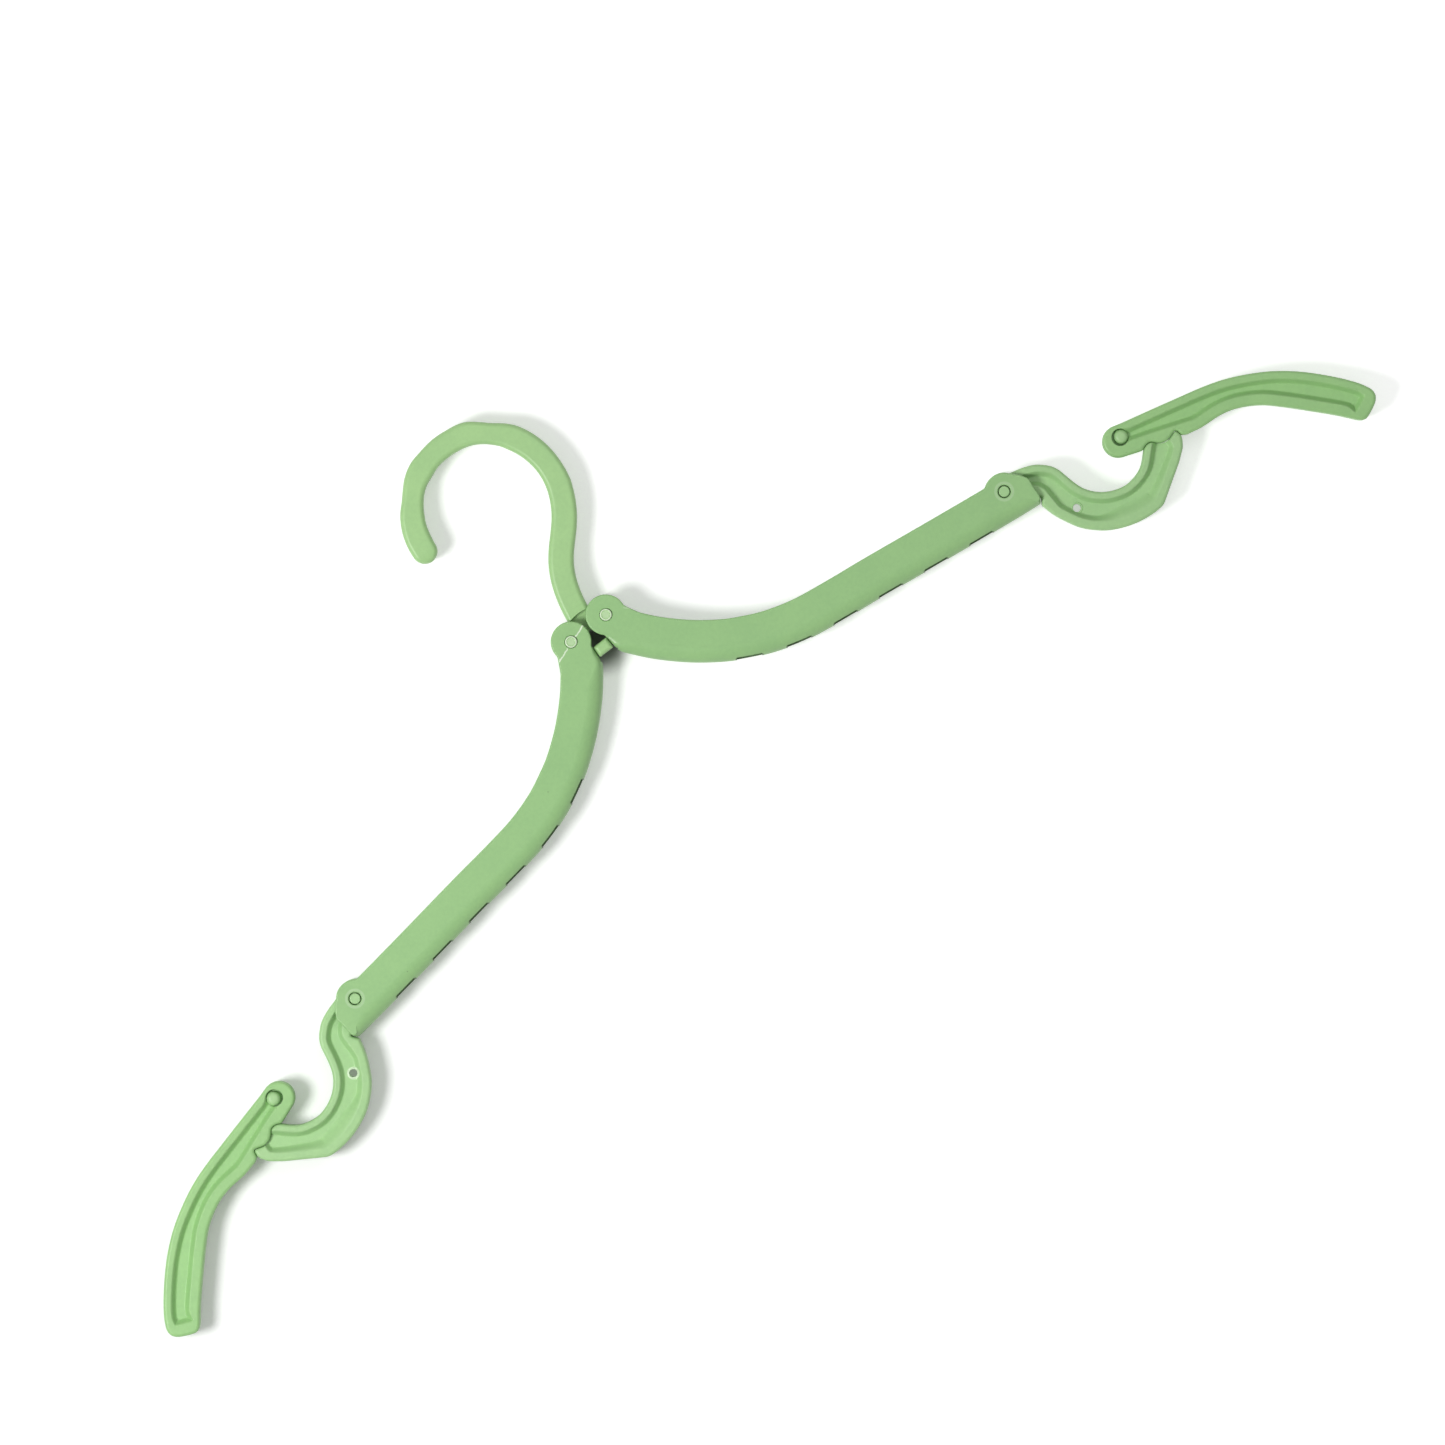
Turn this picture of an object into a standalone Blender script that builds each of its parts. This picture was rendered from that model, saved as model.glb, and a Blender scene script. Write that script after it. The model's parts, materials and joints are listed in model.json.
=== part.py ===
"""Folding travel hanger: a rod hook with a hub, two channel arms, two strap hooks and two shoulder levers.

The hanger hangs upright and open. X runs along the shoulders, Y through the thickness with the front at -Y, and Z
points up. The origin is the seat of the hook, where the rod bears. Lengths are in metres.

Outlines are drawn for the right-hand side in a plane whose origin is midway between the two hub pivots, with x
outwards and z up. The left-hand pieces are their mirror images.
"""
from math import cos, hypot, pi, radians, sin, sqrt

import bmesh
import bpy
from mathutils import Vector

# Thicknesses, measured along Y and centred on the middle plane
ARM_THICKNESS = 0.011
ARM_WALL = 0.0015
NECK_SIDE_GAP = 0.0003
BAR_SIDE_GAP = 0.0005
HUB_WEB_THICKNESS = 0.0025
STOP_BAR_THICKNESS = 0.0092
TONGUE_THICKNESS = 0.002
FORK_GAP = 0.0003
LEVER_RECESS_DEPTH = 0.0014
HUB_STUD_PROUD = 0.0006
LEVER_STUD_SUNK = 0.0003

# Hub
EAR_RADIUS = 0.0056
EAR_GAP = 0.0009
BOSS_RADIUS = 0.0044
HUB_STUD_RADIUS = 0.0016
STOP_BAR_WIDTH = 0.0042
STOP_BAR_TOP = 0.0046
STOP_BAR_HEIGHT = 0.0031
WEB_FOOT = 0.0010
STRUT_WIDTH = 0.0024
SHOULDER_HEIGHT = 0.0056
SHOULDER_HALF = 0.0028
POCKET_HEIGHT = 0.0050
POCKET_RADIUS = 0.0120

# Hook bar
LOOP_RADIUS = 0.0174
LOOP_OFFSET = 0.0019
LOOP_HEIGHT = 0.04335
BAR_WIDTH = 0.0070
BAR_EDGE_RADIUS = 0.0016
SHANK_FOOT_OFFSET = -0.0002
SHANK_UPPER_PULL = 0.016
SHANK_LOWER_PULL = 0.022

# Arm
ARM_SPAN = 0.10695
ARM_DROP = 0.04065
ARM_DEPTH = 0.0117
ARM_FLOOR = 0.0015
ARM_FILLET = 0.003
END_EAR_RADIUS = 0.00525
ARM_NOSE = 0.0076
WINDOW_LENGTH = 0.0071
WINDOW_PITCH = 0.0144
WINDOW_START = 0.0368
WINDOW_LEDGE = 0.0003
WINDOW_COUNT = 6

# End hook
NECK_REACH = 0.0161
BOWL_RADIUS = 0.013
BOWL_DROP = 0.0057
NECK_PIVOT_RADIUS = 0.0048
END_STUD_RADIUS = 0.0016
INNER_RIM = 0.0021
OUTER_RIM = 0.0026
RECESS_SLOPE = 0.0009
BOWL_RECESS_DEPTH = 0.0021
BOWL_SCOOP = 0.0027
TONGUE_RADIUS = 0.0030
LEVER_STUD_RADIUS = 0.0021
LANYARD_HOLE_RADIUS = 0.0011
LANYARD_RING_WIDTH = 0.0005
LANYARD_RING_HEIGHT = 0.0004

# Lever
LEVER_REACH = 0.0624
LEVER_END_RADIUS = 0.00445
LEVER_EDGE_DROP = 0.0055
UPPER_RIM = 0.0023
LOWER_RIM = 0.0031

# Clearances and edges
PIVOT_GAP = 0.0003
LEVER_PIVOT_GAP = 0.0004
STOP_GAP = 0.0003
EDGE_ROUND = 0.0005
OVERRUN = 0.002

SHANK_FOOT_ANGLE = radians(82.4)
SHARP_ANGLE = radians(25)

# What follows from the sizes above
PIVOT_X = EAR_RADIUS + EAR_GAP / 2
CHANNEL_HALF = ARM_THICKNESS / 2 - ARM_WALL
NECK_HALF = CHANNEL_HALF - NECK_SIDE_GAP
BAR_HALF = CHANNEL_HALF - BAR_SIDE_GAP
TONGUE_HALF = TONGUE_THICKNESS / 2
SEAT = (-LOOP_OFFSET, LOOP_HEIGHT + LOOP_RADIUS)
HUB_PIVOT = (PIVOT_X, 0)
END_PIVOT = (PIVOT_X + ARM_SPAN, -ARM_DROP)

# The loop is a soft polygon. By angle in degrees round its centre, from the shank to the tip: shares of the loop's
# radius to the bar's inner edge, and of the bar's width
LOOP_SHARES = (
    (-20, 1.006, 1.014), (-6, 0.997, 0.993), (12, 0.989, 1.003), (30, 0.991, 1.000), (37, 1.001, 0.943),
    (48, 1.011, 0.843), (57, 1.017, 0.871), (67, 1.017, 0.957), (78, 1.006, 0.936), (90, 1.000, 0.936),
    (102, 1.000, 0.921), (111, 0.989, 0.983), (120, 1.000, 0.930), (129, 1.001, 0.854), (138, 0.989, 0.857),
    (147, 0.979, 0.943), (157, 0.977, 0.986), (168, 0.972, 1.019), (177, 0.980, 1.000),
)
# Bottom edge of the arm: down the heel beside the stop bar, then out to the nose, in shares of the span and of the
# drop from the hub pivot
HEEL_DROP_SHARES = (0.148, 0.180, 0.212)
ARM_BOTTOM_SHARES = (
    (-0.0285, -0.249), (-0.019, -0.288), (0.018, -0.407), (0.0555, -0.509), (0.093, -0.599), (0.130, -0.676),
    (0.177, -0.7615), (0.224, -0.829), (0.271, -0.888), (0.317, -0.932), (0.364, -0.967), (0.411, -0.993),
    (0.504, -1.028), (0.598, -1.059), (0.785, -1.128), (0.972, -1.194),
)
# The fillet of the bottom edge grows from the heel: shares of the edge's run and of the full fillet
FILLET_GROWTH_SHARES = ((0.0, 0.30), (0.035, 0.55), (0.09, 1.0), (1.0, 1.0))
# The arm's nose, from the ear downwards: shares of its reach from the end pivot
NOSE_SHARES = (
    (0.605, 0.349), (0.829, 0.112), (0.993, -0.178), (0.947, -0.441), (0.914, -0.954), (0.783, -1.171),
)

# Neck of the end hook above the arm's nose: shares of the neck's reach from the end pivot
NECK_TOP_SHARES = ((0.311, 0.183), (0.497, 0.130), (0.683, 0.050), (0.807, -0.047), (0.907, -0.158), (0.969, -0.283))
# Inner and outer edges of the bowl: shares of the bowl's radius from its centre
BOWL_CENTRE_SHARE = 0.946
BOWL_INNER_SHARES = (
    (-0.946, -0.083), (-0.905, -0.277), (-0.839, -0.485), (-0.723, -0.677), (-0.546, -0.846), (-0.318, -0.971),
    (-0.060, -1.034), (0.195, -1.008), (0.398, -0.933), (0.552, -0.812),
)
BOWL_OUTER_SHARES = (
    (-1.648, -0.600), (-1.525, -0.881), (-1.373, -1.152), (-1.162, -1.385), (-0.915, -1.581), (-0.628, -1.724),
    (-0.323, -1.822), (0.000, -1.869), (0.250, -1.866),
)
BOWL_FLANK_SHARES = ((0.345, -1.838), (0.608, -1.670), (1.128, -1.342), (1.373, -1.152), (1.470, -1.010))
LANYARD_HOLE_SHARES = (-1.177, -0.781)
# The recess wall beside the bowl's outer rim widens into a scoop: shares of the rim's run and of the scoop
SCOOP_SHARES = ((0.0, 0.0), (0.25, 0.1), (0.42, 1.0), (0.58, 1.0), (0.76, 0.3), (1.0, 0.0))
# Foot of the sunk floor, hidden in the arm: shares of the neck's reach from the end pivot
RECESS_ROOT_SHARES = ((0.304, -0.183), (0.410, -0.214), (0.497, -0.283), (0.553, -0.388))
# Place of the lever's pivot, in shares of the bowl's radius from its centre
LEVER_PIVOT_SHARES = (0.481, -0.165)

# The joint line, where the end hook's rims meet the lever: shares of the lever's edge drop from its pivot
JOINT_SHARES = (
    (0.464, -1.245), (0.564, -1.173), (0.727, -1.118), (0.891, -1.109), (1.018, -1.155), (1.118, -1.264),
    (1.255, -1.409), (1.418, -1.518), (1.600, -1.582), (1.782, -1.591), (1.982, -1.545), (2.182, -1.473),
    (2.309, -1.445), (2.373, -1.545), (2.409, -1.800),
)
RECESS_MOUTH_SHARES = ((1.750, -1.450), (1.120, -1.200))
TONGUE_ROOT_SHARES = ((0.60, -1.33), (1.25, -1.60))
FORK_ROOT_SHARES = ((0.86, 1.60), (0.86, -0.42), (1.90, -1.75), (1.90, -2.40))
LOWER_WALL_SHARES = ((0.790, -0.673), (2.050, -1.130))

# Top, tip and bottom edges of the lever: shares of its reach from its pivot
LEVER_END_SHARES = (-0.24, -0.12)
LEVER_TOP_SHARES = (
    (0.038, 0.046), (0.166, 0.015), (0.294, -0.017), (0.422, -0.050), (0.518, -0.083), (0.615, -0.130),
    (0.711, -0.189), (0.807, -0.269), (0.903, -0.372), (0.967, -0.455), (0.996, -0.508),
)
LEVER_TIP_SHARES = ((0.999, -0.530), (0.992, -0.553), (0.967, -0.575), (0.912, -0.600), (0.890, -0.601), (0.870, -0.588))
LEVER_BOTTOM_SHARES = (
    (0.807, -0.511), (0.711, -0.407), (0.647, -0.340), (0.583, -0.279), (0.518, -0.236), (0.454, -0.2075),
    (0.390, -0.194), (0.310, -0.188), (0.262, -0.178), (0.235, -0.172),
)

BOWL_CENTRE = (
    END_PIVOT[0] + NECK_REACH + BOWL_CENTRE_SHARE * BOWL_RADIUS,
    END_PIVOT[1] - BOWL_DROP,
)
LEVER_PIVOT = (
    BOWL_CENTRE[0] + LEVER_PIVOT_SHARES[0] * BOWL_RADIUS,
    BOWL_CENTRE[1] + LEVER_PIVOT_SHARES[1] * BOWL_RADIUS,
)


def shifted(origin, shares, width, height=None):
    """Points given as shares of a width and a height, counted from origin."""
    if height is None:
        height = width
    return [(origin[0] + x * width, origin[1] + z * height) for x, z in shares]


def polar(centre, radius, angle):
    return (centre[0] + radius * cos(angle), centre[1] + radius * sin(angle))


def arc(centre, radius, start, end, steps):
    """Points on a circle from one angle to another, both in degrees."""
    return [polar(centre, radius, radians(start + (end - start) * i / steps)) for i in range(steps + 1)]


def smooth(points, steps):
    """A Catmull-Rom curve through the points, with the given number of steps between neighbours."""
    ends = [tuple(2 * a - b for a, b in zip(points[0], points[1]))]
    ends += list(points)
    ends += [tuple(2 * a - b for a, b in zip(points[-1], points[-2]))]
    curve = []
    for p0, p1, p2, p3 in zip(ends, ends[1:], ends[2:], ends[3:]):
        for i in range(steps):
            t = i / steps
            curve.append(tuple(
                b + t * ((c - a) + t * ((2 * a - 5 * b + 4 * c - d) + t * (3 * b - a - 3 * c + d))) / 2
                for a, b, c, d in zip(p0, p1, p2, p3)
            ))
    curve.append(tuple(points[-1]))
    return curve


def directions(points):
    """The unit direction of an open line at each of its points."""
    result = []
    for i in range(len(points)):
        before = points[max(i - 1, 0)]
        after = points[min(i + 1, len(points) - 1)]
        length = hypot(after[0] - before[0], after[1] - before[1])
        result.append(((after[0] - before[0]) / length, (after[1] - before[1]) / length))
    return result


def moved_left(points, distance):
    """An open line moved to its left-hand side, by one distance or by one for each point."""
    if isinstance(distance, float):
        distance = [distance] * len(points)
    return [(x - dz * d, z + dx * d) for (x, z), (dx, dz), d in zip(points, directions(points), distance)]


def inset(outline, distance):
    """A closed anticlockwise outline with its corners moved inwards, by one distance or by one for each corner."""
    if isinstance(distance, float):
        distance = [distance] * len(outline)
    result = []
    for i, (x, z) in enumerate(outline):
        before = Vector(outline[i - 1])
        after = Vector(outline[(i + 1) % len(outline)])
        here = Vector((x, z))
        inward = Vector((0, 0))
        for step in (here - before, after - here):
            inward += Vector((-step.y, step.x)).normalized()
        inward.normalize()
        edge = (here - before).normalized()
        lean = max(abs(Vector((-edge.y, edge.x)).dot(inward)), sqrt(0.5))
        result.append(tuple(here + inward * distance[i] / lean))
    return result


def read_table(table, position):
    """The value that a table of (position, value) pairs gives at a position, by straight lines."""
    for (p0, v0), (p1, v1) in zip(table, table[1:]):
        if position <= p1:
            return v0 + (v1 - v0) * (position - p0) / (p1 - p0)
    return table[-1][1]


def material(name, colour, roughness):
    """A plain moulded plastic."""
    made = bpy.data.materials.new(name)
    made.use_nodes = True
    shader = made.node_tree.nodes["Principled BSDF"]
    shader.inputs["Base Color"].default_value = (*colour, 1)
    shader.inputs["Roughness"].default_value = roughness
    shader.inputs["Metallic"].default_value = 0
    return made


def new_object(name, bm, origin, finish=None):
    """Links a mesh as an object whose origin is a point of the drawing plane."""
    bmesh.ops.recalc_face_normals(bm, faces=bm.faces)
    bmesh.ops.translate(bm, verts=bm.verts, vec=(-origin[0], 0, -origin[1]))
    mesh = bpy.data.meshes.new(name)
    bm.to_mesh(mesh)
    bm.free()
    mesh.shade_smooth()
    mesh.set_sharp_from_angle(angle=SHARP_ANGLE)
    made = bpy.data.objects.new(name, mesh)
    made.location = (origin[0] - SEAT[0], 0, origin[1] - SEAT[1])
    bpy.context.scene.collection.objects.link(made)
    if finish is not None:
        mesh.materials.append(finish)
    return made


def slab(name, layers, origin, side, finish=None):
    """A solid through layers (y, outline), all with the same number of points, on the right (1) or left (-1)."""
    bm = bmesh.new()
    rings = [[bm.verts.new((side * x, y, z)) for x, z in outline] for y, outline in layers]
    for lower, upper in zip(rings, rings[1:]):
        for i in range(len(lower)):
            bm.faces.new((lower[i - 1], lower[i], upper[i], upper[i - 1]))
    bm.faces.new(rings[0])
    bm.faces.new(rings[-1])
    return new_object(name, bm, (side * origin[0], origin[1]), finish)


def plate(name, outline, low, high, origin, side):
    return slab(name, [(low, outline), (high, outline)], origin, side)


def disc(name, centre, radius, half, origin, side, steps=24, rounding=0):
    """A round stud, boss or hole across the middle plane, with its rims rounded where asked."""
    round_line = arc(centre, radius, 0, 360 - 360 / steps, steps - 1)
    layers = [(-half, round_line), (half, round_line)]
    if rounding:
        small_line = arc(centre, radius - rounding, 0, 360 - 360 / steps, steps - 1)
        layers = [
            (-half, small_line), (rounding - half, round_line), (half - rounding, round_line), (half, small_line),
        ]
    return slab(name, layers, origin, side)


def rounded_layers(outline, half, edge):
    """Layers of a flat moulding whose two faces have rounded rims."""
    side_layers = [(half, inset(outline, edge)), (half - edge, outline)]
    return [(-y, points) for y, points in side_layers] + side_layers[::-1]


def combine(target, tool, operation):
    """Adds a Boolean to a target, and keeps the tool as a guide only."""
    modifier = target.modifiers.new(tool.name, "BOOLEAN")
    modifier.object = tool
    modifier.operation = operation
    modifier.solver = "EXACT"
    tool.hide_render = True
    tool.display_type = "WIRE"
    if tool.parent is None:
        tool.parent = target
        tool.location = tool.location - target.location


def attach(child, parent, child_origin, parent_origin):
    """Parents one piece to another; both origins are points of the drawing plane."""
    child.parent = parent
    child.location = (child_origin[0] - parent_origin[0], 0, child_origin[1] - parent_origin[1])


def flatten(body):
    """Lets the large flat faces set the shading, once all Booleans are on the body."""
    body.modifiers.new("flat_faces", "WEIGHTED_NORMAL").weight = 100


def mirrored(point, side):
    return (side * point[0], point[1])


def shank_curve(steps):
    """Middle line of the shank, from the hub up to the loop."""
    top, inner_share, width_share = LOOP_SHARES[0]
    middle = LOOP_RADIUS * inner_share + BAR_WIDTH * width_share / 2
    foot = Vector((SHANK_FOOT_OFFSET, POCKET_HEIGHT - OVERRUN))
    head = Vector(polar((-LOOP_OFFSET, LOOP_HEIGHT), middle, radians(top)))
    foot_pull = foot + SHANK_LOWER_PULL * Vector((cos(SHANK_FOOT_ANGLE), sin(SHANK_FOOT_ANGLE)))
    head_pull = head - SHANK_UPPER_PULL * Vector((-sin(radians(top)), cos(radians(top))))
    line = []
    for i in range(steps):
        t = i / steps
        u = 1 - t
        line.append(tuple(u**3 * foot + 3 * u * u * t * foot_pull + 3 * u * t * t * head_pull + t**3 * head))
    return line


def build_hook(finish):
    """The rod hook: its bent bar, and the hub with its web, bosses, studs and stop bar."""
    line = shank_curve(14)
    halves = [BAR_WIDTH / 2] * len(line)
    for angle, inner_share, width_share in smooth(LOOP_SHARES, 2):
        halves.append(BAR_WIDTH / 2 * width_share)
        line.append(polar((-LOOP_OFFSET, LOOP_HEIGHT), LOOP_RADIUS * inner_share + halves[-1], radians(angle)))
    rings = []
    for (x, z), (dx, dz), half in zip(line, directions(line), halves):
        rings.append((x, z, dx, dz, half, BAR_HALF))
    x, z, dx, dz, half, thick = rings[-1]
    for angle in (radians(20), radians(40), radians(58), radians(74)):
        ahead = half * sin(angle)
        narrow = half * cos(angle)
        thin = thick - BAR_EDGE_RADIUS * (1 - cos(angle))
        rings.append((x + dx * ahead, z + dz * ahead, dx, dz, narrow, thin))
    bm = bmesh.new()
    loops = []
    for x, z, dx, dz, half, thick in rings:
        edge = min(BAR_EDGE_RADIUS, half * sqrt(0.5))
        loop = []
        for quarter in range(4):
            for step in range(4):
                turn = pi / 2 * (quarter + step / 3)
                side_sign = 1 if quarter in (0, 3) else -1
                face_sign = 1 if quarter in (0, 1) else -1
                across = side_sign * (half - edge) + edge * cos(turn)
                through = face_sign * (thick - edge) + edge * sin(turn)
                loop.append(bm.verts.new((x + dz * across, through, z - dx * across)))
        loops.append(loop)
    for lower, upper in zip(loops, loops[1:]):
        for i in range(len(lower)):
            bm.faces.new((lower[i - 1], lower[i], upper[i], upper[i - 1]))
    bm.faces.new(loops[0])
    bm.faces.new(loops[-1])
    hook = new_object("hook", bm, SEAT, finish)

    pocket_centre = (0, POCKET_HEIGHT - POCKET_RADIUS)
    pocket = disc("hub_pocket", pocket_centre, POCKET_RADIUS, BAR_HALF + OVERRUN, SEAT, 1, 64)
    combine(hook, pocket, "DIFFERENCE")

    stop_half = STOP_BAR_WIDTH / 2
    stop_foot = -STOP_BAR_TOP - STOP_BAR_HEIGHT
    stop_middle = -STOP_BAR_TOP - STOP_BAR_HEIGHT / 2
    inner_boss = polar(HUB_PIVOT, BOSS_RADIUS - STOP_GAP, radians(215))
    web_right = [
        (0, stop_foot + EDGE_ROUND), (stop_half + STRUT_WIDTH / 2, stop_foot + EDGE_ROUND),
        (stop_half + STRUT_WIDTH, stop_middle), HUB_PIVOT, (SHOULDER_HALF, SHOULDER_HEIGHT),
    ]
    gap_right = [(0, stop_middle), (stop_half, stop_middle), inner_boss, (0, -WEB_FOOT / 2)]
    web_half = HUB_WEB_THICKNESS / 2
    web_left = [(-x, z) for x, z in web_right[:0:-1]]
    web = plate("hub_web", web_right + web_left, -web_half, web_half, SEAT, 1)
    gap_left = [(-x, z) for x, z in gap_right[-2:0:-1]]
    gap = plate("hub_gap", gap_right + gap_left, -BAR_HALF, BAR_HALF, SEAT, 1)
    combine(web, gap, "DIFFERENCE")
    combine(hook, web, "UNION")
    bar_half = STOP_BAR_THICKNESS / 2
    bar_line = [
        (-stop_half, stop_foot), (stop_half, stop_foot), (stop_half, -STOP_BAR_TOP), (-stop_half, -STOP_BAR_TOP),
    ]
    combine(hook, slab("stop_bar", rounded_layers(bar_line, bar_half, EDGE_ROUND), SEAT, 1), "UNION")
    for side, label in ((1, "right"), (-1, "left")):
        boss = disc(label + "_boss", HUB_PIVOT, BOSS_RADIUS, NECK_HALF, SEAT, side, 24)
        combine(hook, boss, "UNION")
        stud_half = ARM_THICKNESS / 2 + HUB_STUD_PROUD
        stud = disc(label + "_hub_stud", HUB_PIVOT, HUB_STUD_RADIUS, stud_half, SEAT, side, 20, HUB_STUD_PROUD / 2)
        combine(hook, stud, "UNION")
    flatten(hook)
    return hook


def arm_bottom():
    """Bottom edge of the arm, from the top of its heel by the stop bar to its nose."""
    heel_x = STOP_BAR_WIDTH / 2 + STOP_GAP
    heel = [(heel_x, -share * ARM_DROP) for share in HEEL_DROP_SHARES]
    edge = shifted(HUB_PIVOT, ARM_BOTTOM_SHARES, ARM_SPAN, ARM_DROP)
    return heel + smooth(edge + shifted(END_PIVOT, NOSE_SHARES[-1:], ARM_NOSE), 2)


def arm_floor(distance):
    """The bottom edge moved into the arm, from below the heel's opening."""
    return moved_left(arm_bottom(), distance)[len(HEEL_DROP_SHARES) + 1:]


def build_arm(side, finish):
    """A channel arm: open on top, with a rounded bottom, six windows and a pair of ears at each end."""
    name = "right_arm" if side > 0 else "left_arm"
    bottom = arm_bottom()
    top = []
    for x, z in moved_left(bottom, ARM_DEPTH)[len(HEEL_DROP_SHARES) + 1:]:
        clear_of_hub = hypot(x - HUB_PIVOT[0], z - HUB_PIVOT[1]) > EAR_RADIUS + ARM_FLOOR
        before_end = hypot(x - END_PIVOT[0], z - END_PIVOT[1]) > END_EAR_RADIUS and x < END_PIVOT[0]
        if clear_of_hub and before_end:
            top.append((x, z))
    nose = shifted(END_PIVOT, NOSE_SHARES[:-1], ARM_NOSE)
    end_ear = arc(END_PIVOT, END_EAR_RADIUS, 48, 130, 8)
    hub_ear = arc(HUB_PIVOT, EAR_RADIUS, -10, 230, 20)
    upper = nose[::-1] + end_ear + top[::-1] + hub_ear

    run = [hypot(x - bottom[0][0], z - bottom[0][1]) / ARM_SPAN for x, z in bottom]
    fillet_steps = 3
    side_layers = []
    for step in range(fillet_steps + 1):
        turn = pi / 2 * step / fillet_steps
        rise = ARM_FILLET * (1 - sin(turn))
        y = ARM_THICKNESS / 2 - ARM_FILLET * (1 - cos(turn))
        lifted = moved_left(bottom, [rise * read_table(FILLET_GROWTH_SHARES, share) for share in run])
        side_layers.append((y, lifted + upper))
    layers = [(-y, points) for y, points in side_layers] + side_layers[::-1]
    arm = slab(name, layers, HUB_PIVOT, side, finish)

    floor = arm_floor(ARM_FLOOR)
    beyond_nose = END_PIVOT[0] + ARM_NOSE + OVERRUN
    above_all = HUB_PIVOT[1] + EAR_RADIUS + OVERRUN
    channel = [(-OVERRUN, floor[0][1])] + floor
    channel += [(beyond_nose, floor[-1][1]), (beyond_nose, above_all), (-OVERRUN, above_all)]
    combine(arm, plate(name + "_channel", channel, -CHANNEL_HALF, CHANNEL_HALF, HUB_PIVOT, side), "DIFFERENCE")

    for label, centre, radius in (
        ("_hub_hole", HUB_PIVOT, HUB_STUD_RADIUS + PIVOT_GAP),
        ("_end_hole", END_PIVOT, END_STUD_RADIUS + PIVOT_GAP),
    ):
        hole = disc(name + label, centre, radius, ARM_THICKNESS / 2 + OVERRUN, HUB_PIVOT, side)
        combine(arm, hole, "DIFFERENCE")

    window_half = CHANNEL_HALF - WINDOW_LEDGE
    for number in range(WINDOW_COUNT):
        outline = window_outline(bottom, WINDOW_START + number * WINDOW_PITCH)
        window = plate(f"{name}_window_{number + 1}", outline, -window_half, window_half, HUB_PIVOT, side)
        combine(arm, window, "DIFFERENCE")
    flatten(arm)
    return arm


def point_along(line, distance):
    """The point at a distance along an open line, and the line's direction there."""
    for before, after in zip(line, line[1:]):
        length = hypot(after[0] - before[0], after[1] - before[1])
        if distance <= length:
            heading = ((after[0] - before[0]) / length, (after[1] - before[1]) / length)
            return (before[0] + heading[0] * distance, before[1] + heading[1] * distance), heading
        distance -= length
    return line[-1], directions(line)[-1]


def window_outline(bottom, start):
    """The cut for one window in the arm's bottom wall, square to the wall."""
    corners = []
    for distance, rise in (
        (start, -OVERRUN), (start + WINDOW_LENGTH, -OVERRUN),
        (start + WINDOW_LENGTH, 2 * ARM_FLOOR), (start, 2 * ARM_FLOOR),
    ):
        (x, z), _ = point_along(bottom, distance)
        _, (dx, dz) = point_along(bottom, start + WINDOW_LENGTH / 2)
        corners.append((x - dz * rise, z + dx * rise))
    return corners


def hook_edges():
    """The end hook's upper edge (neck and bowl), its lower edge (bowl and flank) and its joint line, going outwards."""
    joint = shifted(LEVER_PIVOT, JOINT_SHARES, LEVER_EDGE_DROP)
    neck = shifted(END_PIVOT, NECK_TOP_SHARES, NECK_REACH)
    bowl = shifted(BOWL_CENTRE, BOWL_INNER_SHARES, BOWL_RADIUS)
    upper = smooth(neck + bowl + joint[:1], 2)
    shoulder = shoulder_line()
    lip = (shoulder[1][0] - STOP_GAP, shoulder[1][1] - STOP_GAP)
    lower = smooth([lip] + shifted(BOWL_CENTRE, BOWL_OUTER_SHARES, BOWL_RADIUS), 2)
    flank = shifted(BOWL_CENTRE, BOWL_FLANK_SHARES, BOWL_RADIUS)
    return upper, lower + flank, joint


def shoulder_line():
    """The end hook's shoulder, which stops against the end of the arm's floor."""
    return moved_left(shifted(END_PIVOT, NOSE_SHARES[-2:], ARM_NOSE), STOP_GAP)


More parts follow.
